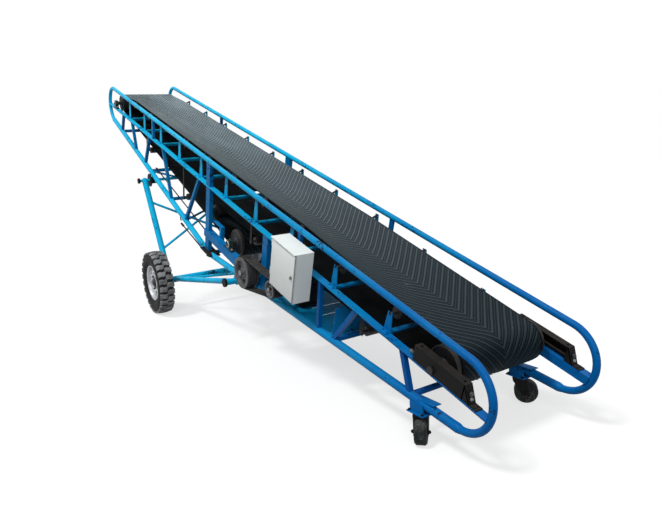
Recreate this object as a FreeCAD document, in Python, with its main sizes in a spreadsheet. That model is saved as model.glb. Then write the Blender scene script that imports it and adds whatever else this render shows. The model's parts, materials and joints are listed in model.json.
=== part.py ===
"""Mobile belt conveyor: a tilted tubular frame with a troughed belt, on two road wheels and two casters.

The frame is drawn in its own system: x runs along the top rails towards the tail (the low, feed end),
y across, z square to the rails, with the origin on the top rail's centre line near the tail bend.
A single placement tilts that system and sets it on the floor.  Everything is in millimetres.
"""

import math
import os

import FreeCAD
import Part
import Sketcher
from FreeCAD import Placement, Rotation, Vector

doc = FreeCAD.newDocument("belt_conveyor")

# ---------------------------------------------------------------- driving dimensions
SIZES = (
    ("tilt", 18, "degrees between the rails and the floor"),
    ("rail_spacing", 900, "across the machine, between rail centre lines"),
    ("rail_diameter", 48, "top rail tube"),
    ("chord_diameter", 60, "lower chord tube"),
    ("bend_radius", 230, "tail and head bends of the side frames, on the centre line"),
    ("head_end", -7164, "head bend's furthest point, on the centre line"),
    ("tail_end", 578, "tail bend's furthest point, on the centre line"),
    ("knee_along", -3300, "where the lower chord bends"),
    ("knee_drop", 1000, "knee's centre below the top rail"),
    ("mid_rail_drop", 252, "top face of the middle rail below the top rail's centre line"),
    ("angle_width", 60, "leg of the middle rail's angle section"),
    ("angle_wall", 6, "wall of the middle rail's angle section"),
    ("post_width", 40, "post between top and middle rail, along the rail"),
    ("post_depth", 28, "post, across the machine"),
    ("post_first", -1494, "post nearest the tail"),
    ("post_pitch", 1820, "between posts"),
    ("column_width", 90, "wide column beside the drive"),
    ("column_depth", 40, "wide column, across the machine"),
    ("stanchion_along", -2028, "wide stanchion beside the control box"),
    ("strut_diameter", 34, "round struts of the side trusses"),
    ("cross_diameter", 42, "cross tubes between the lower chords"),
    ("lattice_diameter", 26, "diagonals between the lower chords"),
    ("belt_width", "=rail_spacing - 200", "flat belt"),
    ("belt_thickness", 9, "belt"),
    ("trough_angle", 25, "degrees of the wing rollers"),
    ("second_angle", 14, "degrees of the wing rollers at the second station from the tail"),
    ("first_angle", 6, "degrees of the wing rollers at the station nearest the tail"),
    ("idler_first", -370, "idler station nearest the tail"),
    ("idler_pitch", 650, "between idler stations"),
    ("idler_count", 10, "idler stations"),
    ("roller_diameter", 89, "carrying rollers"),
    ("roller_drop", 180, "middle carrying roller's axis below the top rail"),
    ("roller_length", "=(rail_spacing - 192) / 3", "each carrying roller"),
    ("roller_gap", 14, "between rollers of one station"),
    ("spindle_diameter", 20, "roller spindles"),
    ("bracket_foot", 74, "idler bracket's width at its foot"),
    ("bracket_head", 42, "idler bracket's width at its top"),
    ("bracket_plate", 6, "idler bracket's thickness"),
    ("cross_angle", 40, "idler cross angle's legs"),
    ("return_diameter", 76, "return rollers"),
    ("hanger_width", 40, "bars that carry the return rollers"),
    ("hanger_plate", 6, "bars that carry the return rollers"),
    ("running_fit", 0.3, "gap between things that turn or slide on each other"),
    ("drum_length", "=rail_spacing - 150", "head, tail and drive drums"),
    ("head_drum_along", -6820, "head drum's axis"),
    ("head_drum_drop", 185, "head drum's axis below the top rail"),
    ("head_drum_radius", 110, "head drum"),
    ("tail_drum_along", 115, "tail drum's axis"),
    ("tail_drum_drop", 225, "tail drum's axis below the top rail"),
    ("tail_drum_radius", 128, "tail drum"),
    ("drive_drum_along", -2788, "drive drum's axis"),
    ("drive_drum_drop", 670, "drive drum's axis below the top rail"),
    ("drive_drum_radius", 130, "drive drum"),
    ("snub_along", -3339, "snub roller's axis"),
    ("snub_drop", 549, "snub roller's axis below the top rail"),
    ("snub_radius", 66, "snub roller"),
    ("snub_clearance", 4, "gap between the snub roller's shaft end and its columns"),
    ("shaft_diameter", 50, "drum shafts"),
    ("bearing_width", 42, "bearing housings, across the machine"),
    ("bearing_radius", 46, "bearing housings"),
    ("bearing_height", 62, "bearing centre above its foot"),
    ("bearing_foot", 150, "bearing foot, along the machine"),
    ("foot_plate", 16, "bearing foot's thickness"),
    ("subframe_width", 70, "drive channel, across the machine"),
    ("subframe_height", 80, "drive channel"),
    ("jackshaft_along", -2203, "large pulley's axis"),
    ("jackshaft_drop", 682, "large pulley's axis below the top rail"),
    ("pulley_radius", 143, "large belt pulley"),
    ("pulley_width", 110, "both belt pulleys"),
    ("pulley_offset", "=rail_spacing / 2 + 95", "belt pulleys' mid plane from the machine's centre plane"),
    ("motor_along", -1670, "motor shaft's axis"),
    ("motor_drop", 579, "motor shaft's axis below the top rail"),
    ("motor_pulley_radius", 74, "small belt pulley"),
    ("motor_radius", 100, "motor body"),
    ("motor_length", 330, "motor body"),
    ("motor_inset", "=rail_spacing / 2 - 50", "motor's drive end from the centre plane"),
    ("motor_height", 189, "motor shaft above its feet"),
    ("motor_cowl", 60, "motor's fan cowl"),
    ("motor_cowl_rise", 4, "motor's fan cowl above its body"),
    ("motor_foot_sink", 0.8, "share of the motor's radius that its feet reach up to, below the axis"),
    ("motor_shaft", 38, "motor's shaft"),
    ("motor_foot", 200, "motor's feet, both ways"),
    ("terminal_box", 110, "motor's terminal box, both ways"),
    ("terminal_sink", 12, "terminal box's back inside the motor body's outline"),
    ("pulley_recess", 20, "recess in the pulleys' outer face"),
    ("pulley_lip", 12, "pulleys' rim beside the belts"),
    ("chain_case_gap", 8, "case beside the drive drum"),
    ("chain_case_width", 24, "chain case"),
    ("chain_case_large", 118, "chain case's radius at the drive drum"),
    ("chain_case_small", 60, "chain case's radius at the jackshaft"),
    ("vee_belt_depth", 12, "bundle of V-belts, proud of and into the pulleys"),
    ("platform_head", -1960, "motor platform's head end"),
    ("platform_tail", -936, "motor platform's tail end"),
    ("platform_plate", 8, "motor platform's thickness"),
    ("guard_setback", 30, "guard plate ahead of the platform's tail end"),
    ("guard_plate", 3, "guard plate"),
    ("guard_clearance", 12, "guard plate below the return belt"),
    ("slot_width", 18, "slots in the motor platform"),
    ("box_along", -1615, "control box's head side"),
    ("box_length", 378, "control box along the rails"),
    ("box_height", 412, "control box"),
    ("box_depth", 151, "control box across, with its door"),
    ("box_drop", 68, "control box's roof below the top rail"),
    ("sheet_wall", 2, "cabinet walls and door"),
    ("roof_lip", 14, "roof overhang in front of the door"),
    ("door_gap", 3, "running gap round the door"),
    ("hinge_barrel", 12, "door hinge"),
    ("hinge_pin", 6, "door hinge"),
    ("hinge_knuckle", 30, "each half of a door hinge"),
    ("hinge_leaf", 26, "leaf of a door hinge on the cabinet's side"),
    ("takeup_length", 430, "take-up housing along the rails"),
    ("takeup_height", 104, "take-up housing above the middle rail"),
    ("takeup_width", 56, "take-up housing, across"),
    ("takeup_wall", 6, "take-up housing's wall"),
    ("takeup_along", -48, "take-up housing's head end"),
    ("takeup_foot", 108, "foot beyond the housing's tail end"),
    ("shaft_stub", 12, "tail drum's shaft beyond the housing"),
    ("takeup_slider", 90, "sliding block, along the rails"),
    ("screw_diameter", 20, "take-up screw"),
    ("pivot_along", -2637, "drawbar pivot"),
    ("pivot_drop", 1008, "drawbar pivot below the top rail"),
    ("axle_along", -4240, "main axle"),
    ("axle_drop", 1773, "main axle below the top rail"),
    ("drawbar_offset", "=rail_spacing / 2 + 30", "drawbar side tubes from the centre plane"),
    ("drawbar_diameter", 60, "drawbar tubes"),
    ("leg_offset", "=rail_spacing / 2 + 108", "legs from the centre plane"),
    ("leg_diameter", 72, "leg tubes"),
    ("leg_roller_along", -5157, "roller at the top of each leg"),
    ("leg_roller_radius", 45, "tread of that roller"),
    ("leg_roller_flange", 82, "flange of that roller"),
    ("leg_roller_width", 76, "tread of that roller"),
    ("leg_flange_width", 12, "flange of that roller"),
    ("leg_pin_stub", 28, "cross tube beyond the legs"),
    ("leg_cap_radius", 34, "dark caps on the legs' pin"),
    ("running_gap", 1, "roller under the chord"),
    ("brace_diameter", 30, "cross braces of legs and drawbar"),
    ("pin_diameter", 36, "pin at the top of the legs"),
    ("pivot_reach", "=rail_spacing / 2 + 95", "drawbar's cross tube from the centre plane"),
    ("cap_radius", 44, "dark caps on the pivots"),
    ("cap_thickness", 22, "dark caps on the pivots"),
    ("hanger_offset", "=rail_spacing / 2 - 18", "pivot hangers from the centre plane"),
    ("pivot_plate", 12, "pivot hangers"),
    ("winch_along", -3165, "winch drum's axis"),
    ("winch_drop", 925, "winch drum's axis below the top rail"),
    ("winch_radius", 40, "winch drum"),
    ("winch_offset", 120, "winch's mid plane from the centre plane"),
    ("winch_width", 110, "winch between its plates"),
    ("axle_diameter", 50, "main axle bar"),
    ("axle_tube", 76, "axle tube between the drawbar's side tubes"),
    ("wheel_offset", "=rail_spacing / 2 + 256", "road wheels' mid plane from the centre plane"),
    ("tyre_radius", 380, "road tyre"),
    ("tyre_width", 180, "road tyre"),
    ("rim_radius", 212, "road wheel's rim, at its flange"),
    ("rim_width", 140, "road wheel's rim"),
    ("hub_radius", 52, "road wheel's hub"),
    ("hub_reach", 58, "hub from the wheel's mid plane"),
    ("rim_lip", 14, "rim's flange above its well"),
    ("disc_wall", 8, "rim's disc"),
    ("disc_offset", 14, "wheel disc outside its mid plane"),
    ("tyre_shoulder", 28, "tyre's shoulder"),
    ("tyre_crown", 7, "tyre's tread falls by this to its shoulder"),
    ("axle_stub", 40, "axle beyond the wheel's mid plane"),
    ("caster_along", 63, "caster's swivel axis, measured at the lower chord"),
    ("caster_wheel_radius", 80, "caster wheel"),
    ("caster_wheel_width", 76, "caster wheel"),
    ("caster_trail", 42, "caster wheel's axle behind its swivel axis"),
    ("caster_height", 190, "caster from floor to plate"),
    ("caster_plate", 150, "caster bracket's plate, along the floor"),
    ("caster_plate_width", 110, "caster bracket's plate, across"),
    ("caster_plate_thickness", 8, "caster bracket"),
    ("caster_fork", 6, "fork cheek beside the caster wheel"),
    ("caster_crown", 96, "caster fork's top plate"),
    ("caster_crown_depth", 20, "caster fork's top plate and its bearing"),
    ("caster_axle", 14, "caster wheel's axle"),
    ("caster_axle_end", 8, "caster wheel's axle beyond each cheek"),
    ("caster_cheek", 5, "fork cheek"),
    ("caster_shoulder", 10, "caster tread's rounded shoulder"),
)

sheet = doc.addObject("Spreadsheet::Sheet", "Dims")
for row, (alias, value, note) in enumerate(SIZES, start=1):
    sheet.set(f"A{row}", alias)
    sheet.set(f"B{row}", str(value))
    sheet.set(f"C{row}", note)
    sheet.setAlias(f"B{row}", alias)
doc.recompute()


# ---------------------------------------------------------------- helpers
def number(expression):
    """Value of an expression in the sheet's aliases."""
    return float(sheet.evalExpression(str(expression)))


def vector(point):
    """Vector of three expressions."""
    return Vector(*(number(part) for part in point))


def bind(thing, **sizes):
    """Bind properties of an object to expressions."""
    for name, expression in sizes.items():
        thing.setExpression(name, str(expression))
    return thing


def distance(start, end):
    """Expression for the distance between two points given as expressions."""
    return "hypot(" + "; ".join(f"({b}) - ({a})" for a, b in zip(start, end)) + ")"


def along(start, end):
    """Placement whose Z axis runs from start to end and whose X axis stays in the machine's side plane."""
    begin, finish = vector(start), vector(end)
    axis = (finish - begin).normalize()
    side = Vector(0, 1, 0)
    if abs(axis.dot(side)) > 0.999:
        side = Vector(1, 0, 0)
    return Placement(begin, Rotation(side.cross(axis), side, axis, "ZXY"))


def tube(name, start, end, diameter):
    """Round bar from start to end."""
    bar = doc.addObject("Part::Cylinder", name)
    bind(bar, Radius=f"({diameter}) / 2", Height=distance(start, end))
    bar.Placement = along(start, end)
    return bar


def flat(name, start, end, width, depth):
    """Rectangular bar from start to end: width in the side plane, depth across the machine."""
    bar = doc.addObject("Part::Box", name)
    bind(bar, Length=width, Width=depth, Height=distance(start, end))
    bar.Placement = along(start, end)
    bar.Placement = bar.Placement * Placement(Vector(-number(width) / 2, -number(depth) / 2, 0), Rotation())
    return bar


def block(name, corner, size):
    """Rectangular block from its low corner."""
    box = doc.addObject("Part::Box", name)
    bind(box, Length=size[0], Width=size[1], Height=size[2])
    box.Placement = Placement(vector(corner), Rotation())
    return box


def sphere(name, centre, diameter):
    """Ball that closes a mitred joint."""
    ball = doc.addObject("Part::Sphere", name)
    bind(ball, Radius=f"({diameter}) / 2")
    ball.Placement = Placement(vector(centre), Rotation())
    return ball


def bend(name, centre, radius, diameter, first, sweep):
    """Bent tube in the side plane, from the angle first (0 is +x, 90 is +z) through sweep degrees."""
    ring = doc.addObject("Part::Torus", name)
    bind(ring, Radius1=radius, Radius2=f"({diameter}) / 2")
    ring.Angle3 = sweep
    lie_down = Rotation(Vector(1, 0, 0), Vector(0, 0, 1), Vector(0, -1, 0), "ZXY")
    ring.Placement = Placement(vector(centre), lie_down * Rotation(Vector(0, 0, 1), first))
    return ring


def join(name, pieces):
    """One object of several pieces, joined where they meet."""
    if len(pieces) == 1:
        return pieces[0]
    union = doc.addObject("Part::MultiFuse", name)
    union.Shapes = pieces
    return union


def trim(name, base, tools):
    """Base with the tools cut away."""
    result = doc.addObject("Part::Cut", name)
    result.Base = base
    result.Tool = join(name + "_tools", tools)
    return result


def axes_plane(body, role):
    """Origin plane of a body."""
    return next(item for item in body.Origin.OriginFeatures if item.Role == role)


def outline(body, name, points, role="XY_Plane", circles=()):
    """Closed sketch whose corners are pairs of expressions, and whose circles are (x, y, radius)."""
    sketch = body.newObject("Sketcher::SketchObject", name)
    sketch.AttachmentSupport = (axes_plane(body, role), [""])
    sketch.MapMode = "FlatFace"
    corners = [Vector(number(x), number(y), 0) for x, y in points]
    for index, corner in enumerate(corners):
        sketch.addGeometry(Part.LineSegment(corner, corners[(index + 1) % len(corners)]), False)
    for index in range(len(corners)):
        sketch.addConstraint(Sketcher.Constraint("Coincident", index, 2, (index + 1) % len(corners), 1))
    for index, point in enumerate(points):
        pin_point(sketch, index, 1, point)
    for x, y, radius in circles:
        centre = Vector(number(x), number(y), 0)
        index = sketch.addGeometry(Part.Circle(centre, Vector(0, 0, 1), number(radius)), False)
        pin_point(sketch, index, 3, (x, y))
        constraint = sketch.addConstraint(Sketcher.Constraint("Radius", index, number(radius)))
        sketch.setExpression(f"Constraints[{constraint}]", str(radius))
    return sketch


def pin_point(sketch, geometry, end, point):
    """Tie one point of a sketch to its two expressions."""
    for kind, expression in zip(("DistanceX", "DistanceY"), point):
        value = number(expression)
        constraint = sketch.addConstraint(Sketcher.Constraint(kind, -1, 1, geometry, end, value))
        sketch.setExpression(f"Constraints[{constraint}]", str(expression))


def turned(name, points):
    """Body turned about the Y axis from a half section of (radius, position across) corners."""
    body = doc.addObject("PartDesign::Body", name)
    sketch = outline(body, name + "_section", points)
    turn = body.newObject("PartDesign::Revolution", name + "_turn")
    turn.Profile = sketch
    turn.ReferenceAxis = (sketch, ["V_Axis"])
    turn.Angle = 360
    return body


def plate(name, points, thickness, role="XZ_Plane", circles=()):
    """Flat plate padded evenly about its plane."""
    body = doc.addObject("PartDesign::Body", name)
    sketch = outline(body, name + "_outline", points, role, circles)
    pad = body.newObject("PartDesign::Pad", name + "_pad")
    pad.Profile = sketch
    pad.Midplane = True
    bind(pad, Length=thickness)
    return body


def move(thing, point, turn=None):
    """Set an object at a point, in the frame's system."""
    thing.Placement = Placement(vector(point), turn or Rotation())
    return thing


def across(name, radius, low, high, x, z, sections=()):
    """Turned bar along Y from low to high at (x, z), with optional thicker sections (radius, low, high)."""
    steps = sorted([("bar", low, high, radius)] if not sections else
                   [("bar", low, sections[0][1], radius)] +
                   [("step", a, b, r) for r, a, b in sections] +
                   [("bar", sections[i][2], sections[i + 1][1], radius) for i in range(len(sections) - 1)] +
                   [("bar", sections[-1][2], high, radius)], key=lambda step: number(step[1]))
    points = [("0", steps[0][1])]
    for _, a, b, r in steps:
        points += [(r, a), (r, b)]
    points.append(("0", steps[-1][2]))
    return move(turned(name, points), (x, "0", z))


NODES = []


def node(name, thing, frame=None):
    """Make an object one of the machine's named sub-parts, in the tilted frame unless told otherwise."""
    thing.Label = name
    outer = TILTED if frame is None else frame
    thing.Placement = outer * thing.Placement
    NODES.append(thing)
    return thing


SIDES = (("left", -1), ("right", 1))

# ---------------------------------------------------------------- where the frame stands
HALF = "Dims.rail_spacing / 2"
HEAD_X = "(Dims.head_end + Dims.bend_radius)"
TAIL_X = "(Dims.tail_end - Dims.bend_radius)"
BEND_Z = "(-Dims.bend_radius)"
KNEE_X = "Dims.knee_along"
KNEE_Z = "(-Dims.knee_drop)"


def chord_angle(end_x):
    """Degrees by which the lower chord rises from the knee to its tangent on the bend at end_x."""
    run = abs(number(end_x) - number(KNEE_X))
    rise = number(BEND_Z) - number(KNEE_Z)
    return math.degrees(math.atan2(rise, run) - math.asin(number("Dims.bend_radius") / math.hypot(run, rise)))


TAIL_SLOPE = chord_angle(TAIL_X)
HEAD_SLOPE = chord_angle(HEAD_X)


def chord_z(x):
    """Height of the lower chord's centre line at x, as a plain number."""
    position = number(x)
    reach = position - number(KNEE_X)
    slope = TAIL_SLOPE if reach > 0 else -HEAD_SLOPE
    return number(KNEE_Z) + reach * math.tan(math.radians(slope))


def stand(x, y, z):
    """Point of the tilted frame turned level, before the frame is set on the floor."""
    tilt = math.radians(number("Dims.tilt"))
    return Vector(x * math.cos(tilt) + z * math.sin(tilt), y, -x * math.sin(tilt) + z * math.cos(tilt))


FLOOR = stand(number("Dims.axle_along"), 0, -number("Dims.axle_drop")).z - number("Dims.tyre_radius")
BEND_REACH = number("Dims.bend_radius") + number("Dims.rail_diameter") / 2
TAIL_LIMIT = stand(number(TAIL_X), 0, number(BEND_Z)).x + BEND_REACH
HEAD_LIMIT = stand(number(HEAD_X), 0, number(BEND_Z)).x - BEND_REACH
MIDDLE = (TAIL_LIMIT + HEAD_LIMIT) / 2
TILTED = Placement(Vector(-MIDDLE, 0, -FLOOR), Rotation(Vector(0, 1, 0), number("Dims.tilt")))


# ---------------------------------------------------------------- side frames
def tangent_point(end_x, slope, direction):
    """Point where the lower chord leaves a bend: direction is +1 at the tail, -1 at the head."""
    radius = number("Dims.bend_radius")
    lean = math.radians(slope)
    x = number(end_x) + direction * radius * math.sin(lean)
    return (x, number(BEND_Z) - radius * math.cos(lean))


TAIL_TANGENT = tangent_point(TAIL_X, TAIL_SLOPE, 1)
HEAD_TANGENT = tangent_point(HEAD_X, HEAD_SLOPE, -1)


def rail_pieces(name, y):
    """Top rail with its tail and head bends."""
    return [
        tube(name + "_top", (HEAD_X, y, "0"), (TAIL_X, y, "0"), "Dims.rail_diameter"),
        bend(name + "_tail", (TAIL_X, y, BEND_Z), "Dims.bend_radius", "Dims.rail_diameter",
             -(90 - TAIL_SLOPE), 180 - TAIL_SLOPE),
        bend(name + "_head", (HEAD_X, y, BEND_Z), "Dims.bend_radius", "Dims.rail_diameter",
             90, 180 - HEAD_SLOPE),
    ]


def chord_pieces(name, y, grow="0"):
    """Lower chord: two runs that meet at the knee, thicker by grow for use as a cutter."""
    diameter = f"(Dims.chord_diameter + {grow})"
    knee = (KNEE_X, y, KNEE_Z)
    return [
        tube(name + "_tail", knee, (TAIL_TANGENT[0], y, TAIL_TANGENT[1]), diameter),
        tube(name + "_head", knee, (HEAD_TANGENT[0], y, HEAD_TANGENT[1]), diameter),
        sphere(name + "_knee", knee, diameter),
    ]


def on_chord(x, y):
    """Point on a lower chord's centre line."""
    return (x, y, chord_z(x))


MID_TOP = "(-Dims.mid_rail_drop)"
MID_BOTTOM = "(-Dims.mid_rail_drop - Dims.angle_width)"
MID_INNER = "(Dims.rail_spacing / 2 - Dims.angle_width / 2)"
UNDER_MID = "(-Dims.mid_rail_drop - Dims.angle_wall)"


def mid_rail(name, side):
    """Angle section between the bends: a level flange outwards and an upright leg inwards."""
    inner = f"({side} * {MID_INNER})"
    flange_low = f"({inner} - Dims.angle_width)" if side < 0 else inner
    leg_low = inner if side > 0 else f"({inner} - Dims.angle_wall)"
    start, length = f"({HEAD_X} - Dims.bend_radius)", f"({TAIL_X} - {HEAD_X} + 2 * Dims.bend_radius)"
    flange = block(name + "_flange", (start, flange_low, f"{MID_TOP} - Dims.angle_wall"),
                   (length, "Dims.angle_width", "Dims.angle_wall"))
    leg = block(name + "_leg", (start, leg_low, MID_BOTTOM), (length, "Dims.angle_wall", "Dims.angle_width"))
    section = join(name + "_section", [flange, leg])
    y = f"({side} * {HALF})"
    reach = "2 * Dims.bend_radius"
    ends = []
    for end, x, first, sweep in (("tail", TAIL_X, -90, 180), ("head", HEAD_X, 90, 180)):
        ends.append(bend(f"{name}_{end}_cut", (x, y, BEND_Z), "Dims.bend_radius", "Dims.rail_diameter",
                         first, sweep))
        corner = f"({x})" if end == "tail" else f"({x} - {reach})"
        outer = block(f"{name}_{end}_box", (corner, f"{y} - Dims.angle_width", f"{BEND_Z} - Dims.bend_radius"),
                      (reach, "2 * Dims.angle_width", reach))
        inside = doc.addObject("Part::Cylinder", f"{name}_{end}_inside")
        bind(inside, Radius="Dims.bend_radius - Dims.rail_diameter / 4", Height="2 * Dims.angle_width")
        inside.Placement = along((x, f"{y} - Dims.angle_width", BEND_Z), (x, f"{y} + Dims.angle_width", BEND_Z))
        ends.append(trim(f"{name}_{end}_beyond", outer, [inside]))
    return trim(name, section, ends)


POSTS = [f"(Dims.post_first - {index} * Dims.post_pitch)" for index in range(3)]
COLUMN = POSTS[1]

# each truss member: where it meets the middle rail, where it meets the lower chord (distances along)
STRUTS = ((-6440, -6540), (-6050, -5860), (-5270, -5480), (-4770, -4460), (-3580, -3990),
          (-1150, -1110), (-675, -910), (-180, -30))
LATTICE = ((-5265, -4500), (-4500, -3990))
CROSSES = (-6540, -5265, -4500, -3300, -1990, -910, -30)


def build_side_frame(label, side):
    """The welded side frame of one side, as the pieces it is welded from."""
    y = f"({side} * {HALF})"
    node(f"{label}_rail", join(f"{label}_rail", rail_pieces(f"{label}_rail", y)))
    node(f"{label}_lower_chord", join(f"{label}_lower_chord", chord_pieces(f"{label}_chord", y)))
    node(f"{label}_mid_rail", mid_rail(f"{label}_mid_rail", side))
    posts = []
    for index, x in enumerate(POSTS):
        wide = x == COLUMN
        kind = "column" if wide else "post"
        width, depth = f"Dims.{kind}_width", f"Dims.{kind}_depth"
        posts.append(flat(f"{label}_post_{index}", (x, y, MID_TOP), (x, y, "0"), width, depth))
    cutter = tube(f"{label}_post_cutter", (HEAD_X, y, "0"), (TAIL_X, y, "0"), "Dims.rail_diameter")
    node(f"{label}_posts", trim(f"{label}_posts", join(f"{label}_posts_raw", posts), [cutter]))
    struts = []
    for index, (top, foot) in enumerate(STRUTS):
        struts.append(flat(f"{label}_strut_{index}", (foot, y, chord_z(foot)), (top, y, MID_TOP),
                           "Dims.strut_diameter", "Dims.strut_diameter"))
    for name, x in (("column_low", COLUMN), ("stanchion", "Dims.stanchion_along")):
        struts.append(flat(f"{label}_{name}", (x, y, chord_z(x)), (x, y, UNDER_MID),
                           "Dims.column_width", "Dims.column_depth"))
    above = block(f"{label}_above_truss", (HEAD_X, f"{y} - Dims.angle_width", UNDER_MID),
                  (f"{TAIL_X} - {HEAD_X}", "2 * Dims.angle_width", "Dims.angle_width"))
    cutters = chord_pieces(f"{label}_truss_cutter", y) + [above]
    node(f"{label}_truss", trim(f"{label}_truss", join(f"{label}_truss_raw", struts), cutters))


def build_cross_members():
    """Cross tubes between the lower chords, and the diagonals between them near the head."""
    low, high = f"(-{HALF})", f"({HALF})"

    def crosses(name):
        """The cross tubes, to be kept or to cut with."""
        return [tube(f"{name}_{index}", on_chord(x, low), on_chord(x, high), "Dims.cross_diameter")
                for index, x in enumerate(CROSSES)]

    def chords(name):
        """Both lower chords, to cut with."""
        return chord_pieces(f"{name}_left", low) + chord_pieces(f"{name}_right", high)

    node("cross_members", trim("cross_members", join("cross_members_raw", crosses("cross")), chords("cross_cut")))
    diagonals = []
    for index, (head, tail) in enumerate(LATTICE):
        first, last = (low, high) if index % 2 == 0 else (high, low)
        diagonals.append(tube(f"lattice_{index}", on_chord(head, first), on_chord(tail, last),
                              "Dims.lattice_diameter"))
    cutters = chords("lattice_cut") + crosses("lattice_cross")
    node("chord_lattice", trim("chord_lattice", join("chord_lattice_raw", diagonals), cutters))


# ---------------------------------------------------------------- carrying rollers
def station(index):
    """Where an idler station stands."""
    return f"(Dims.idler_first - {index} * Dims.idler_pitch)"


FIT = "Dims.running_fit"
WING_Y = "(Dims.roller_length / 2 + Dims.roller_gap)"
BRACKET_Y = f"({MID_INNER} + Dims.bracket_plate / 2)"
SPINDLE_REACH = "(Dims.roller_gap * 0.3)"
BELT_RISE = "(Dims.roller_diameter / 2 + Dims.running_fit + Dims.belt_thickness / 2)"
BELT_FOLD = f"({WING_Y} - {BELT_RISE} * tan(Dims.trough_angle * 0.5deg))"
BELT_HALF = number("Dims.belt_thickness") / 2
FLAT_ANGLES = ("Dims.first_angle", "Dims.second_angle")


def directed_tangent(first, second):
    """Ends of the straight run between two pulleys: each is (x, z, radius, way), way +1 turning left."""
    (x1, z1, r1, s1), (x2, z2, r2, s2) = first, second
    heading = math.atan2(z2 - z1, x2 - x1) - math.asin((s2 * r2 - s1 * r1) / math.hypot(x2 - x1, z2 - z1))
    right = Vector(math.sin(heading), 0, -math.cos(heading))
    return Vector(x1, 0, z1) + right * (s1 * r1), Vector(x2, 0, z2) + right * (s2 * r2)


def belt_pulley(name, way):
    """Centre line of the belt round a drum, as (x, z, radius, way)."""
    radius = number(f"Dims.{name}_radius") + BELT_HALF + number("Dims.running_fit")
    return number(f"Dims.{name}_along"), -number(f"Dims.{name}_drop"), radius, way


TROUGH_LEVEL = number("Dims.roller_diameter / 2 - Dims.roller_drop + Dims.running_fit") + BELT_HALF
TROUGH_ENDS = [(number(station(index)), TROUGH_LEVEL, 0, 1)
               for index in (int(number("Dims.idler_count")) - 1, len(FLAT_ANGLES))]
TAIL_ENTRY = directed_tangent(belt_pulley("tail_drum", 1), TROUGH_ENDS[1])[0]


def level(index):
    """Height of a station's middle roller: the first ones rise with the belt towards the tail drum."""
    x, z = TROUGH_ENDS[1][:2]
    share = max(0, (number(station(index)) - x) / (TAIL_ENTRY.x - x))
    return f"({(TAIL_ENTRY.z - z) * share} - Dims.roller_drop)"


def wing_angle(index):
    """Slope of a station's wing rollers, in degrees."""
    return FLAT_ANGLES[index] if index < len(FLAT_ANGLES) else "Dims.trough_angle"


def wing_point(index, reach, side):
    """Point on a wing roller's axis, reach measured across from where the wing begins."""
    rise = f"({reach}) * tan({wing_angle(index)} * 1deg)"
    return f"({side} * ({WING_Y} + {reach}))", f"({level(index)} + {rise})"


def idler_frame_pieces(index):
    """Cross angle, end brackets and inner brackets of one station."""
    x = station(index)
    top = UNDER_MID
    wall = "Dims.angle_wall"
    pieces = [
        block(f"idler_{index}_shelf", (f"{x} - Dims.cross_angle / 2", f"-{MID_INNER}", f"{top} - {wall}"),
              ("Dims.cross_angle", f"2 * {MID_INNER}", wall)),
        block(f"idler_{index}_web",
              (f"{x} - Dims.cross_angle / 2", f"-{MID_INNER}", f"{top} - Dims.cross_angle"),
              (wall, f"2 * {MID_INNER}", "Dims.cross_angle")),
    ]
    notch = f"(Dims.spindle_diameter / 2 + {FIT})"
    for label, side in SIDES:
        y, z = wing_point(index, f"({BRACKET_Y} - {WING_Y})", side)
        head, seat = f"({z} + Dims.spindle_diameter / 2)", f"({z} - {notch} - Dims.bracket_plate / 4)"
        points = (("-Dims.bracket_foot / 2", MID_TOP), ("Dims.bracket_foot / 2", MID_TOP),
                  ("Dims.bracket_head / 2", head), (notch, head), (notch, seat),
                  (f"-{notch}", seat), (f"-{notch}", head), ("-Dims.bracket_head / 2", head))
        bracket = plate(f"idler_{index}_{label}_bracket", points, "Dims.bracket_plate")
        pieces.append(move(bracket, (x, y, "0")))
        inner_y, inner_z = wing_point(index, "(-Dims.roller_gap / 2)", side)
        inner_top = f"{inner_z} + Dims.spindle_diameter / 2"
        pieces.append(flat(f"idler_{index}_{label}_inner", (x, inner_y, top), (x, inner_y, inner_top),
                           "Dims.bracket_head", "Dims.bracket_plate / 2"))
    return pieces


def roller(name, start, end, diameter, reach=SPINDLE_REACH):
    """Carrying roller between two points, its spindle standing out at both ends, by a reach at the second."""
    begin, finish = vector(start), vector(end)
    axis = (finish - begin).normalize()
    spindle_start = begin - axis * number(SPINDLE_REACH)
    spindle_end = finish + axis * number(reach)
    shell = tube(name + "_shell", start, end, diameter)
    spindle = tube(name + "_spindle", tuple(spindle_start), tuple(spindle_end), "Dims.spindle_diameter")
    return join(name, [shell, spindle])


def wing_end(index, side):
    """Outer end of a wing roller."""
    return wing_point(index, f"(Dims.roller_length * cos({wing_angle(index)} * 1deg))", side)


def build_idlers():
    """Ten stations of three rollers in a trough, on their cross angles."""
    frames, rollers = [], []
    for index in range(int(number("Dims.idler_count"))):
        x = station(index)
        frames += idler_frame_pieces(index)
        half = "(Dims.roller_length / 2)"
        axis = level(index)
        rollers.append(roller(f"roller_{index}_middle", (x, f"-{half}", axis), (x, half, axis),
                              "Dims.roller_diameter"))
        for label, side in SIDES:
            y0, z0 = wing_point(index, SPINDLE_REACH, side)
            y1, z1 = wing_end(index, side)
            beyond = (f"({BRACKET_Y} + Dims.bracket_plate - {side} * {y1}) / cos({wing_angle(index)} * 1deg)")
            rollers.append(roller(f"roller_{index}_{label}", (x, y0, z0), (x, y1, z1), "Dims.roller_diameter",
                                  beyond))
    node("idler_frames", join("idler_frames", frames))
    node("carrying_rollers", join("carrying_rollers", rollers))


# ---------------------------------------------------------------- drums, rollers and their bearings
FACE = "(Dims.drum_length / 2)"
SHAFT = "(Dims.shaft_diameter / 2)"


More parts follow.
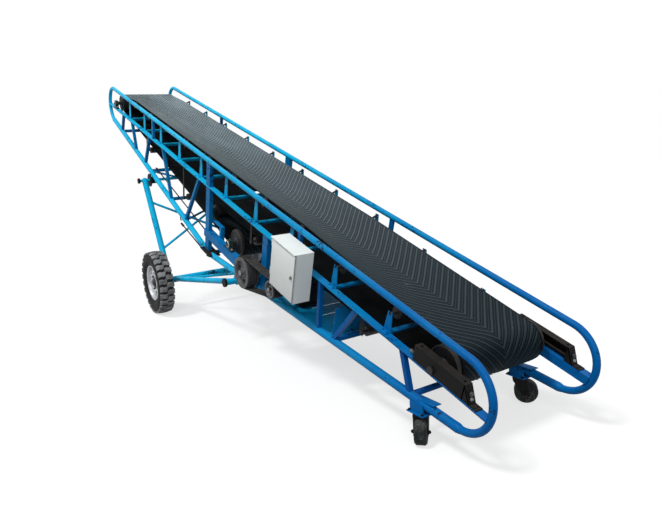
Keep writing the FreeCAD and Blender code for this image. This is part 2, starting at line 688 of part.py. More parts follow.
def drum(name, x, drop, radius, reach):
    """Drum with its shaft out to reach on both sides."""
    return across(name, SHAFT, f"-({reach})", reach, x, f"(-{drop})", ((radius, f"-{FACE}", FACE),))


def bearing(name, x, y, z, height="Dims.bearing_height"):
    """Pillow block: a rounded housing on a foot, centred on a shaft at (x, z)."""
    base = "Dims.bearing_foot / 2"
    slab = f"-({height}) + Dims.foot_plate"
    neck, crown = "Dims.bearing_radius * 0.9", "Dims.bearing_radius * 0.5"
    top = "Dims.bearing_radius * 0.8"
    points = ((f"-{base}", f"-({height})"), (base, f"-({height})"), (base, slab), (neck, slab), (neck, "0"),
              (crown, top), (f"-{crown}", top), (f"-{neck}", "0"), (f"-{neck}", slab), (f"-{base}", slab))
    housing = plate(name, points, "Dims.bearing_width", circles=(("0", "0", f"{SHAFT} + {FIT}"),))
    return move(housing, (x, y, z))


def build_drums():
    """Head, tail and drive drums and the snub roller, each on its own bearings."""
    reach = f"({HALF} + Dims.bearing_width / 2)"
    names = {"head_drum": reach, "drive_drum": reach, "tail_drum": f"({TAKEUP_FACE} + Dims.shaft_stub)",
             "snub_roller": f"({HALF} - Dims.column_depth / 2 - Dims.snub_clearance)"}
    for name, end in names.items():
        size = name.replace("_roller", "")
        node(name, drum(name, f"Dims.{size}_along", f"Dims.{size}_drop", f"Dims.{size}_radius", end))
    heads, drives = [], []
    for label, side in SIDES:
        y = f"({side} * {HALF})"
        heads.append(bearing(f"{label}_head_bearing", "Dims.head_drum_along", y, "(-Dims.head_drum_drop)",
                             "Dims.mid_rail_drop - Dims.head_drum_drop"))
        for name in ("drive_drum", "jackshaft"):
            drives.append(bearing(f"{label}_{name}_bearing", f"Dims.{name}_along", y, f"(-Dims.{name}_drop)"))
        inner = f"({side} * ({HALF} - Dims.column_depth / 2))"
        outer = f"({inner} - {side} * Dims.bearing_width)"
        ends = [("Dims.snub_along", edge, "(-Dims.snub_drop)") for edge in (inner, outer)]
        flange = tube(f"{label}_snub_flange", *ends, "2 * Dims.bearing_radius")
        bore = tube(f"{label}_snub_bore", *ends, f"Dims.shaft_diameter + 2 * {FIT}")
        drives.append(trim(f"{label}_snub_bearing", flange, [bore]))
    node("head_bearings", join("head_bearings", heads))
    node("drive_bearings", join("drive_bearings", drives))


SUBFRAME_TOP = "(-Dims.drive_drum_drop - Dims.bearing_height)"
TAKEUP_FACE = f"({HALF} + Dims.takeup_width / 2)"


def chord_top_at(height):
    """Distance along at which the top of the tail run of the lower chord reaches a height."""
    lean = math.radians(TAIL_SLOPE)
    rise = number(height) - number(KNEE_Z) - number("Dims.chord_diameter") / 2 / math.cos(lean)
    return number(KNEE_X) + rise / math.tan(lean)


def build_drive_frame():
    """Channels under the drive bearings, past the columns, and saddles on the chords for the jackshaft."""
    bottom = f"({SUBFRAME_TOP} - Dims.subframe_height)"
    start = f"({COLUMN} - Dims.column_width / 2)"
    saddle_top = "(-Dims.jackshaft_drop - Dims.bearing_height)"
    saddle_low = chord_z("Dims.jackshaft_along")
    finish = min(chord_top_at(bottom), number("Dims.jackshaft_along - Dims.bearing_foot / 2"))
    pieces, cutters = [], []
    for label, side in SIDES:
        y = f"({side} * {HALF})"
        low = f"({y} - Dims.subframe_width / 2)"
        pieces.append(block(f"{label}_channel", (start, low, bottom),
                            (f"{finish} - {start}", "Dims.subframe_width", "Dims.subframe_height")))
        pieces.append(block(f"{label}_saddle", ("Dims.jackshaft_along - Dims.bearing_foot / 2", low, saddle_low),
                            ("Dims.bearing_foot", "Dims.subframe_width", f"{saddle_top} - {saddle_low}")))
        cutters += chord_pieces(f"{label}_drive_cutter", y)
        cutters.append(flat(f"{label}_column_cutter", (COLUMN, y, chord_z(COLUMN)), (COLUMN, y, UNDER_MID),
                            "Dims.column_width", "Dims.column_depth"))
    node("drive_frame", trim("drive_frame", join("drive_frame_raw", pieces), cutters))


# ---------------------------------------------------------------- belt
def pulley_arc(pulley, start, end):
    """Arc round a pulley from start to end, the way that the pulley turns."""
    x, z, radius, way = pulley
    first = math.atan2(start.z - z, start.x - x)
    last = math.atan2(end.z - z, end.x - x)
    middle = first + way * ((last - first) * way % (2 * math.pi)) / 2
    halfway = Vector(x + radius * math.cos(middle), 0, z + radius * math.sin(middle))
    return Part.Arc(start, halfway, end).toShape()


BELT_PULLEYS = [belt_pulley(name, way) for name, way in
                (("head_drum", 1), ("drive_drum", 1), ("snub", -1), ("tail_drum", 1))]
BELT_RUNS = [directed_tangent(first, second) for first, second in zip(BELT_PULLEYS, BELT_PULLEYS[1:])]
HEAD_STRAND, _, TAIL_STRAND = BELT_RUNS


def strand_z(strand, x):
    """Height of a return strand's centre line at x."""
    (start, end), position = strand, number(x)
    return start.z + (end.z - start.z) * (position - start.x) / (end.x - start.x)


def belt_section(centre, heading, angle):
    """Closed outline of the belt square to its run: flat in the middle, wings raised by an angle."""
    fold = number(BELT_FOLD)
    wing = number("Dims.belt_width") / 2 - fold
    half_turn = BELT_HALF * math.tan(angle / 2)
    corners = []
    for height in (-BELT_HALF, BELT_HALF):
        inner = fold - half_turn * height / BELT_HALF
        reach = fold + wing * math.cos(angle) - height * math.sin(angle)
        rise = wing * math.sin(angle) + height * math.cos(angle)
        level = [(-reach, rise), (-inner, height), (inner, height), (reach, rise)]
        corners += level if height < 0 else level[::-1]
    normal = Vector(math.sin(heading), 0, -math.cos(heading))
    outline_points = [centre + Vector(0, y, 0) + normal * z for y, z in corners]
    return Part.makePolygon(outline_points + outline_points[:1])


def build_belt():
    """One endless belt: troughed on top, flat round the drums, in an S round the drive drum and snub."""
    first, last = TROUGH_ENDS
    head, tail = BELT_PULLEYS[0], BELT_PULLEYS[-1]
    begin = directed_tangent(first, head)[1]
    finish = TAIL_ENTRY
    edges, here = [], begin
    for pulley, (leave, meet) in zip(BELT_PULLEYS, BELT_RUNS):
        edges += [pulley_arc(pulley, here, leave), Part.LineSegment(leave, meet).toShape()]
        here = meet
    edges.append(pulley_arc(tail, here, finish))
    trough = math.radians(number("Dims.trough_angle"))
    corners = [Vector(x, 0, z) for x, z, _, _ in (first, last)]
    top = [(begin, 0), (corners[0], trough), (corners[1], trough), (finish, 0)]
    spans = []
    for (start, start_angle), (end, end_angle) in zip(top, top[1:]):
        run = math.atan2(start.z - end.z, start.x - end.x)
        ends = [belt_section(point, math.pi if angle else run, angle)
                for point, angle in ((start, start_angle), (end, end_angle))]
        spans.append(Part.makeLoft(ends, True, True))
    ribbon_start = belt_section(begin, math.atan2(begin.z - corners[0].z, begin.x - corners[0].x), 0)
    ribbon = Part.Wire(edges).makePipeShell([ribbon_start], True, True)
    belt = doc.addObject("Part::Feature", "conveyor_belt")
    belt.Shape = ribbon.fuse(spans).removeSplitter()
    node("conveyor_belt", belt)


RETURNS = ((HEAD_STRAND, -5500), (HEAD_STRAND, -4150), (TAIL_STRAND, -2400), (TAIL_STRAND, -1520),
           (TAIL_STRAND, -640))


def build_return_rollers():
    """Rollers under the return strands, on bars that hang from the middle rails."""
    rollers, hangers = [], []
    radius = "(Dims.return_diameter / 2)"
    gap = number(f"{radius} + {FIT}") + BELT_HALF
    for index, (strand, x) in enumerate(RETURNS):
        start, end = strand
        lean = math.atan2(end.z - start.z, end.x - start.x)
        z = strand_z(strand, x) - gap / math.cos(lean)
        spindle = "(Dims.spindle_diameter / 2)"
        rollers.append(across(f"return_{index}", spindle, f"-{MID_INNER}", MID_INNER, x, z,
                              ((radius, f"-{FACE}", FACE),)))
        for label, side in SIDES:
            y = f"({side} * ({MID_INNER} - Dims.hanger_plate / 2))"
            hangers.append(flat(f"{label}_hanger_{index}", (x, y, f"{z} - Dims.hanger_width / 2"),
                                (x, y, UNDER_MID), "Dims.hanger_width", "Dims.hanger_plate"))
    spindles = [tube(f"hanger_bore_{index}", (x, f"-{HALF}", rollers[index].Placement.Base.z),
                     (x, HALF, rollers[index].Placement.Base.z), "Dims.spindle_diameter")
                for index, (_, x) in enumerate(RETURNS)]
    node("return_rollers", join("return_rollers", rollers))
    node("return_hangers", trim("return_hangers", join("return_hangers_raw", hangers), spindles))


# ---------------------------------------------------------------- V-belt drive and motor
def pulley_section(radius, bore):
    """Half section of a belt pulley with a recessed outer face."""
    half = "(Dims.pulley_width / 2)"
    web, rim = f"({radius}) * 0.72", f"({radius}) * 0.78"
    face = f"-{half} + Dims.pulley_recess"
    return ((bore, face), (web, face), (rim, f"-{half}"), (radius, f"-{half}"), (radius, half), (bore, half))


def loop_face(pulleys, proud):
    """Face bounded by a belt's line round two pulleys, proud of them by a distance."""
    first, second = [(x, z, radius + proud, way) for x, z, radius, way in pulleys]
    leave_first, meet_second = directed_tangent(first, second)
    leave_second, meet_first = directed_tangent(second, first)
    return Part.Face(Part.Wire([
        Part.LineSegment(leave_first, meet_second).toShape(), pulley_arc(second, meet_second, leave_second),
        Part.LineSegment(leave_second, meet_first).toShape(), pulley_arc(first, meet_first, leave_first)]))


def build_vee_drive():
    """Large pulley on its jackshaft, small pulley on the motor and the bundle of V-belts."""
    y = "(-Dims.pulley_offset)"
    jack = ("Dims.jackshaft_along", y, "(-Dims.jackshaft_drop)")
    motor = ("Dims.motor_along", y, "(-Dims.motor_drop)")
    large, small = "Dims.pulley_radius", "Dims.motor_pulley_radius"
    node("drive_pulley", move(turned("drive_pulley", pulley_section(large, SHAFT)), jack))
    node("motor_pulley", move(turned("motor_pulley", pulley_section(small, "Dims.motor_shaft / 2")), motor))
    low = "(-Dims.pulley_offset - Dims.pulley_width / 2 - Dims.shaft_stub)"
    node("jackshaft", across("jackshaft", SHAFT, low, f"({HALF} + Dims.bearing_width / 2)", jack[0], jack[2]))
    pulleys = [(number(jack[0]), number(jack[2]), number(large), 1),
               (number(motor[0]), number(motor[2]), number(small), 1)]
    width = Vector(0, number("Dims.pulley_width - 2 * Dims.pulley_lip"), 0)
    outside, inside = (loop_face(pulleys, proud) for proud in (number("Dims.vee_belt_depth"), number(FIT)))
    belts = doc.addObject("Part::Feature", "vee_belts")
    belts.Shape = outside.extrude(width).cut(inside.extrude(width))
    belts.Placement = Placement(vector(("0", y, "0")) - width / 2, Rotation())
    node("vee_belts", belts)


def build_chain_case():
    """Flat case round the chain from the jackshaft to the drive drum, on the far side."""
    middle = f"({FACE} + Dims.chain_case_gap + Dims.chain_case_width / 2)"
    half = "Dims.chain_case_width / 2"
    ends, bores = [], []
    for name, radius in (("drive_drum", "Dims.chain_case_large"), ("jackshaft", "Dims.chain_case_small")):
        x, z = f"Dims.{name}_along", f"(-Dims.{name}_drop)"
        points = [(x, f"{middle} {sign} {half}", z) for sign in "-+"]
        ends.append(tube(f"chain_case_{name}", *points, f"2 * {radius}"))
        bores.append(tube(f"chain_bore_{name}", *points, f"Dims.shaft_diameter + 2 * {FIT}"))
    corners = [(f"Dims.{name}_along", f"(-Dims.{name}_drop {sign} {radius})")
               for name, radius, sign in (("drive_drum", "Dims.chain_case_large", "-"),
                                          ("jackshaft", "Dims.chain_case_small", "-"),
                                          ("jackshaft", "Dims.chain_case_small", "+"),
                                          ("drive_drum", "Dims.chain_case_large", "+"))]
    ends.append(move(plate("chain_case_body", corners, "Dims.chain_case_width"), ("0", middle, "0")))
    node("chain_case", trim("chain_case", join("chain_case_raw", ends), bores))


PLATFORM_TURN = Rotation(Vector(0, 1, 0), -TAIL_SLOPE)


def on_platform(name, point, size, shift):
    """Block that leans with the motor platform: its corner lies at a shift from a point."""
    thing = doc.addObject("Part::Box", name)
    bind(thing, Length=size[0], Width=size[1], Height=size[2])
    thing.Placement = Placement(vector(point), PLATFORM_TURN) * Placement(vector(shift), Rotation())
    return thing


def build_motor():
    """Motor as one block of its real outline."""
    x, z, end = "Dims.motor_along", "(-Dims.motor_drop)", "(-Dims.motor_inset)"
    cowl_end, middle = f"({end} + Dims.motor_length)", f"{end} + Dims.motor_length / 2"
    foot, box = "Dims.motor_foot", "Dims.terminal_box"
    pieces = [
        tube("motor_body", (x, end, z), (x, cowl_end, z), "2 * Dims.motor_radius"),
        tube("motor_cowl", (x, cowl_end, z), (x, f"{cowl_end} + Dims.motor_cowl", z),
             "2 * (Dims.motor_radius + Dims.motor_cowl_rise)"),
        tube("motor_shaft", (x, "(-Dims.pulley_offset - Dims.pulley_width / 2)", z), (x, end, z),
             f"Dims.motor_shaft - 2 * {FIT}"),
        on_platform("motor_feet", (x, middle, z),
                    (foot, foot, "Dims.motor_height - Dims.motor_foot_sink * Dims.motor_radius"),
                    (f"-{foot} / 2", f"-{foot} / 2", "-Dims.motor_height")),
        on_platform("terminal_box", (x, middle, z), (f"{box} / 2", box, box),
                    ("Dims.motor_radius - Dims.terminal_sink", f"-{box} / 2", f"-{box} / 2")),
    ]
    node("motor", join("motor", pieces))


SLOT_SHARES = (0.42, 0.58, 0.74, 0.9)
SLOT_REACH = 0.29


def build_platform():
    """Slotted plate between the lower chords that carries the motor, and the guard across its tail end."""
    head, tail, thick = "Dims.platform_head", "Dims.platform_tail", "Dims.platform_plate"
    axis = ("Dims.motor_along", "0", "(-Dims.motor_drop)")
    length = f"(({tail} - {head}) / cos({TAIL_SLOPE} * 1deg))"
    slope = f"{TAIL_SLOPE} * 1deg"
    before = f"((Dims.motor_along - {head}) / cos({slope}) + Dims.motor_height * tan({slope}))"
    wide = "Dims.rail_spacing"
    corner = (f"-{before}", f"-{wide} / 2", f"-Dims.motor_height - {thick}")
    base = on_platform("platform_plate", axis, (length, wide, thick), corner)
    slots = []
    for index, share in enumerate(SLOT_SHARES):
        shift = (f"{length} * {share} - {before}", f"-{wide} * {SLOT_REACH}",
                 f"-Dims.motor_height - 2 * {thick}")
        slots.append(on_platform(f"platform_slot_{index}", axis,
                                 ("Dims.slot_width", f"2 * {wide} * {SLOT_REACH}", f"4 * {thick}"), shift))
    chords = chord_pieces("platform_cut_left", f"(-{HALF})") + chord_pieces("platform_cut_right", f"({HALF})")
    node("motor_platform", trim("motor_platform", base, slots + chords))
    guard_x = f"({tail} - Dims.guard_setback)"
    low = chord_z(guard_x)
    top = strand_z(TAIL_STRAND, guard_x) - BELT_HALF - number("Dims.guard_clearance")
    guard = block("rear_guard_plate", (guard_x, f"-{MID_INNER}", low),
                  ("Dims.guard_plate", f"2 * {MID_INNER}", top - low))
    tools = chord_pieces("guard_cut_left", f"(-{HALF})") + chord_pieces("guard_cut_right", f"({HALF})")
    floor = on_platform("guard_foot_cut", axis, (f"2 * {length}", wide, f"4 * {thick}"),
                        (f"-{before}", f"-{wide} / 2", f"-Dims.motor_height - 4 * {thick}"))
    node("rear_guard", trim("rear_guard", guard, tools + [floor]))


# ---------------------------------------------------------------- control box
BOX_BACK = f"(-({HALF} + Dims.angle_width / 2))"
BOX_FRONT = f"({BOX_BACK} - Dims.box_depth)"
HINGE_LEVELS = (0.2, 0.8)


def build_control_box():
    """Sheet cabinet against the middle rail's flange, and the door on two pins at its head side."""
    wall, gap, x = "Dims.sheet_wall", "Dims.door_gap", "Dims.box_along"
    top = "(-Dims.box_drop)"
    bottom = f"({top} - Dims.box_height)"
    edge = f"({BOX_FRONT} + {wall} + {gap})"
    shell = block("cabinet_shell", (x, edge, bottom),
                  ("Dims.box_length", f"{BOX_BACK} - {edge}", "Dims.box_height"))
    hollow = block("cabinet_hollow", (f"{x} + {wall}", f"{edge} - {gap}", f"{bottom} + {wall}"),
                   (f"Dims.box_length - 2 * {wall}", f"{BOX_BACK} - {edge} - {wall} + {gap}",
                    f"Dims.box_height - 2 * {wall}"))
    lip = block("cabinet_lip", (x, f"{BOX_FRONT} - Dims.roof_lip", f"{top} - {wall}"),
                ("Dims.box_length", f"{edge} - {BOX_FRONT} + Dims.roof_lip", wall))
    box_pieces, door_pieces = [trim("cabinet", shell, [hollow]), lip], []
    barrel, pin = "Dims.hinge_barrel", "Dims.hinge_pin"
    axis_x, axis_y = f"({x} - {barrel} / 2)", f"({BOX_FRONT} + {barrel} / 2)"
    bores = []
    for index, share in enumerate(HINGE_LEVELS):
        z = f"({bottom} + {share} * Dims.box_height)"
        at = [(axis_x, axis_y, f"{z} + {rise}") for rise in
              ("0", "Dims.hinge_knuckle", f"Dims.hinge_knuckle + {FIT}", "2 * Dims.hinge_knuckle")]
        box_pieces.append(tube(f"box_knuckle_{index}", at[0], at[1], barrel))
        box_pieces.append(tube(f"box_pin_{index}", at[0], at[3], pin))
        box_pieces.append(block(f"box_leaf_{index}", (f"{x} - {wall}", axis_y, z),
                                (wall, "Dims.hinge_leaf", "Dims.hinge_knuckle")))
        door_pieces.append(tube(f"door_knuckle_{index}", at[2], at[3], barrel))
        door_pieces.append(block(f"door_leaf_{index}", (axis_x, BOX_FRONT, at[2][2]),
                                 (f"{barrel} / 2", wall, f"Dims.hinge_knuckle - {FIT}")))
        bores.append(tube(f"door_bore_{index}", at[0], at[3], f"{pin} + 2 * {FIT}"))
    node("control_box", join("control_box", box_pieces))
    door_pieces.append(block("door_sheet", (x, BOX_FRONT, bottom),
                             ("Dims.box_length", wall, f"Dims.box_height - {wall} - {gap}")))
    node("box_door", trim("box_door", join("box_door_raw", door_pieces), bores))


# ---------------------------------------------------------------- take-ups
def build_take_ups():
    """Screw take-ups on the middle rails: a covered housing with its screw, block and bent foot."""
    x, z, wall = "Dims.takeup_along", "(-Dims.tail_drum_drop)", "Dims.takeup_wall"
    height, width, length = "Dims.takeup_height", "Dims.takeup_width", "Dims.takeup_length"
    top = f"({MID_TOP} + {height})"
    slider = "Dims.takeup_slider"
    for label, side in SIDES:
        y = f"({side} * {HALF})"
        low = f"({y} - {width} / 2)"
        outer = f"({side} * {TAKEUP_FACE} - {1 if side > 0 else 0} * {wall})"
        pieces = [
            block(f"{label}_takeup_roof", (x, low, f"{top} - {wall}"), (length, width, wall)),
            block(f"{label}_takeup_cheek", (x, outer, MID_TOP), (length, wall, height)),
            block(f"{label}_takeup_end", (x, low, MID_TOP), (wall, width, height)),
            tube(f"{label}_takeup_screw", (f"{x} - Dims.takeup_foot / 2", y, z), (f"{x} + {length}", y, z),
                 "Dims.screw_diameter"),
            block(f"{label}_takeup_slider", (f"Dims.tail_drum_along - {slider} / 2", f"{y} - {width} / 4", MID_TOP),
                  (slider, f"{width} / 2", f"{height} - 2 * {wall}")),
        ]
        end = f"({x} + {length})"
        foot = ((f"{end} - {wall}", top), (end, top), (f"{end} + Dims.takeup_foot / 2", f"{MID_TOP} + {wall}"),
                (f"{end} + Dims.takeup_foot", f"{MID_TOP} + {wall}"), (f"{end} + Dims.takeup_foot", MID_TOP),
                (f"{end} + Dims.takeup_foot / 2 - {wall}", MID_TOP), (f"{end} - {wall}", f"{top} - 2 * {wall}"))
        pieces.append(move(plate(f"{label}_takeup_foot", foot, width), ("0", y, "0")))
        bore = tube(f"{label}_takeup_bore", ("Dims.tail_drum_along", f"{y} - {width}", z),
                    ("Dims.tail_drum_along", f"{y} + {width}", z), f"Dims.shaft_diameter + 2 * {FIT}")
        whole = join(f"{label}_takeup_raw", pieces)
        node(f"{label}_take_up", trim(f"{label}_take_up", whole, [bore]))


# ---------------------------------------------------------------- undercarriage
AXLE = ("Dims.axle_along", "(-Dims.axle_drop)")
PIVOT = ("Dims.pivot_along", "(-Dims.pivot_drop)")


def leg_top():
    """Axis of the rollers at the top of the legs, hanging under the lower chord, as plain numbers."""
    lean = math.radians(HEAD_SLOPE)
    x = number("Dims.leg_roller_along")
    below = number("Dims.chord_diameter / 2 + Dims.leg_roller_radius") + number("Dims.running_gap")
    return x - below * math.sin(lean), chord_z(x) - below * math.cos(lean)


LEG_TOP = leg_top()


def cap(name, side, start, x, z, radius="Dims.cap_radius"):
    """Round cap on the end of a pin or cross tube."""
    near = (x, f"({side} * {start})", z)
    far = (x, f"({side} * ({start} + Dims.cap_thickness))", z)
    return tube(name, near, far, f"2 * {radius}")


def build_drawbar():
    """Drawbar frame with the axle, and the hangers under the chords that it swings in."""
    (ax, az), (px, pz) = AXLE, PIVOT
    offset, reach, pipe = "Dims.drawbar_offset", "Dims.pivot_reach", "Dims.drawbar_diameter"
    inner = f"({LEG_INNER} - 2)"
    stub = "(Dims.wheel_offset + Dims.axle_stub)"
    pieces = [tube("axle_tube", (ax, f"-{inner}", az), (ax, inner, az), "Dims.axle_tube"),
              tube("axle_bar", (ax, f"-{stub}", az), (ax, stub, az), "Dims.axle_diameter"),
              tube("pivot_tube", (px, f"-{reach}", pz), (px, reach, pz), pipe)]
    corners = {(end, side): (x, f"({side} * {offset})", z)
               for end, x, z in (("axle", ax, az), ("pivot", px, pz)) for _, side in SIDES}
    for label, side in SIDES:
        pieces.append(tube(f"{label}_drawbar", corners["axle", side], corners["pivot", side], pipe))
        pieces.append(tube(f"{label}_drawbar_brace", corners["axle", side], corners["pivot", -side],
                           "Dims.brace_diameter"))
    node("drawbar", join("drawbar", pieces))
    caps = [cap(f"{label}_pivot_cap", side, reach, px, pz) for label, side in SIDES]
    node("pivot_caps", join("pivot_caps", caps))
    hangers = []
    eye = f"({pipe} / 2 + Dims.pivot_plate)"
    chord = chord_z(px)
    for label, side in SIDES:
        y = f"({side} * Dims.hanger_offset)"
        edges = [(px, f"({y} {sign} Dims.pivot_plate / 2)", pz) for sign in "-+"]
        web = block(f"{label}_hanger_web", (f"{px} - {eye}", edges[0][1], pz),
                    (f"2 * {eye}", "Dims.pivot_plate", f"{chord} - {pz}"))
        ring = tube(f"{label}_hanger_ring", *edges, f"2 * {eye}")
        bore = tube(f"{label}_hanger_bore", *edges, f"{pipe} + 2 * {FIT}")
        tools = [bore] + chord_pieces(f"{label}_hanger_cutter", f"({side} * {HALF})")
        hangers.append(trim(f"{label}_hanger", join(f"{label}_hanger_raw", [web, ring]), tools))
    node("pivot_hangers", join("pivot_hangers", hangers))


LEG_INNER = "(Dims.leg_offset - Dims.leg_diameter / 2)"
LEG_OUTER = "(Dims.leg_offset + Dims.leg_diameter / 2)"
BRACE_SHARES = (0.3, 0.78)


def build_legs():
    """Two legs with a cross tube at their top, an X between them and a sleeve round the axle."""
    (ax, az), (tx, tz) = AXLE, LEG_TOP
    pieces, caps = [], []
    reach = f"({LEG_OUTER} + Dims.leg_pin_stub)"

    def on_leg(share, side):
        """Point part of the way from the axle to the leg's top."""
        x, z = (f"({low} + {share} * ({high} - {low}))" for low, high in ((ax, tx), (az, tz)))
        return x, f"({side} * Dims.leg_offset)", z

    for label, side in SIDES:
        pieces.append(tube(f"{label}_leg", on_leg(0, side), on_leg(1, side), "Dims.leg_diameter"))
        edges = [(ax, f"({side} * {edge})", az) for edge in (LEG_INNER, LEG_OUTER)]
        pieces.append(tube(f"{label}_leg_sleeve", *edges, "Dims.axle_tube"))
        pieces.append(sphere(f"{label}_leg_head", on_leg(1, side), "Dims.leg_diameter"))
        low, high = BRACE_SHARES
        pieces.append(tube(f"{label}_leg_brace", on_leg(high, side), on_leg(low, -side),
                           "Dims.brace_diameter"))
        caps.append(cap(f"{label}_leg_pin_cap", side, reach, tx, tz, "Dims.leg_cap_radius"))
    pieces.append(tube("leg_cross_tube", (tx, f"-{reach}", tz), (tx, reach, tz), "Dims.pin_diameter"))
    bore = tube("leg_axle_bore", (ax, f"-{LEG_OUTER}", az), (ax, LEG_OUTER, az),
                f"Dims.axle_diameter + 2 * {FIT}")
    node("leg_frame", trim("leg_frame", join("leg_frame_raw", pieces), [bore]))
    node("leg_pin_caps", join("leg_pin_caps", caps))


def build_leg_rollers():
    """Flanged rollers on the cross tube at the top of the legs, running under the lower chords."""
    tx, tz = LEG_TOP
    bore, tread, flange = f"Dims.pin_diameter / 2 + {FIT}", "Dims.leg_roller_radius", "Dims.leg_roller_flange"
    inner = f"({HALF} - Dims.leg_roller_width / 2)"
    edge = f"({HALF} + Dims.leg_roller_width / 2)"
    outer = f"({edge} + Dims.leg_flange_width)"
    section = [(bore, inner), (tread, inner), (tread, edge), (flange, edge), (flange, outer), (bore, outer)]
    for label, side in SIDES:
        points = section if side > 0 else [(radius, f"-{y}") for radius, y in reversed(section)]
        node(f"{label}_leg_roller", move(turned(f"{label}_leg_roller", points), (tx, "0", tz)))


def build_road_wheels():
    """Steel disc wheels and their tyres on the axle's ends."""
    ax, az = AXLE
    r, w, hub = "Dims.rim_radius", "(Dims.rim_width / 2)", "Dims.hub_radius"
    t, tw, lip = "Dims.tyre_radius", "(Dims.tyre_width / 2)", "Dims.rim_lip"
    bore, end = f"(Dims.axle_diameter / 2 + {FIT})", "Dims.hub_reach"
    well = f"({r} - {lip})"
    disc, plate_wall = "Dims.disc_offset", "Dims.disc_wall"
    wheel = [(bore, f"-{end}"), (hub, f"-{end}"), (hub, disc), (f"{well} - {lip}", f"{disc} + 2 * {lip} / 3"),
             (f"{well} - {lip} / 2", f"-{w}"), (r, f"-{w}"), (r, f"-{w} + {lip} / 2"),
             (well, f"-{w} + {lip}"), (well, f"{w} - {lip}"), (r, f"{w} - {lip} / 2"), (r, w),
             (f"{well} - {lip} / 2", w), (f"{well} - {lip}", f"{disc} + {lip} + {plate_wall}"),
             (hub, f"{disc} + {plate_wall}"),
             (hub, end), (bore, end)]
    seat, bead = f"({well} + {FIT})", f"({w} - {lip} - {FIT})"
    shoulder, crown = "Dims.tyre_shoulder", "Dims.tyre_crown"
    upper = [(t, "0"), (f"{t} - {crown}", f"{tw} - {shoulder}"), (f"{t} - {shoulder}", f"{tw} - {crown}"),
             (f"({r} + {t}) / 2", tw), (f"{r} + {shoulder}", f"{tw} - {crown}"), (f"{r} + {FIT}", bead), (seat, bead)]
    tyre = [(radius, f"-({y})") for radius, y in reversed(upper[1:])] + upper
    for label, side in SIDES:
        points = wheel if side > 0 else [(radius, f"-({y})") for radius, y in reversed(wheel)]
        for part, section in (("wheel", points), ("tyre", tyre)):
            body = turned(f"{label}_{part}", section)
            node(f"{label}_{part}", move(body, (ax, f"({side} * Dims.wheel_offset)", az)))


def build_winch():
    """Hand winch on the cross tube at the knee, for the rope to the top of the legs."""
    x, z, y = "Dims.winch_along", "(-Dims.winch_drop)", "Dims.winch_offset"
    width, radius = "Dims.winch_width", "Dims.winch_radius"
    wall = "Dims.angle_wall"
    low, high = f"({y} - {width} / 2)", f"({y} + {width} / 2)"
    pieces = [tube("winch_drum", (x, low, z), (x, high, z), f"2 * {radius}")]
    tie = f"(Dims.cross_diameter / 2 + {wall})"
    outline_points = ((f"{KNEE_X} - {tie}", f"{KNEE_Z} + {tie}"), (f"{KNEE_X} - {tie}", KNEE_Z),
                      (f"{KNEE_X} + {tie}", KNEE_Z), (f"{x} + {radius}", f"{z} - {radius} / 2"),
                      (f"{x} + {radius}", f"{z} + {radius} + {wall}"),
                      (f"{x} - {radius}", f"{z} + {radius} + {wall}"))
    for index, edge in enumerate((low, high)):
        pieces.append(move(plate(f"winch_plate_{index}", outline_points, wall), ("0", edge, "0")))
    crank = f"({high} + 2 * {radius})"
    pieces += [tube("winch_axle", (x, low, z), (x, crank, z), "Dims.spindle_diameter"),
               flat("winch_crank", (x, crank, z), (f"{x} + 3 * {radius}", crank, z), "Dims.spindle_diameter", wall),
               tube("winch_handle", (f"{x} + 3 * {radius}", crank, z),
                    (f"{x} + 3 * {radius}", f"{crank} + 2 * {radius}", z),
                    "Dims.spindle_diameter")]
    knee = tube("winch_knee_cut", (KNEE_X, low + " - 20", KNEE_Z), (KNEE_X, high + " + 20", KNEE_Z),
                "Dims.cross_diameter")
    node("winch", trim("winch", join("winch_raw", pieces), [knee]))


# ---------------------------------------------------------------- casters, level with the floor
CASTER_AT = TILTED.multVec(vector(("Dims.caster_along", "0", chord_z("Dims.caster_along"))))
CASTER_YAW = {"left": -47, "right": 43}


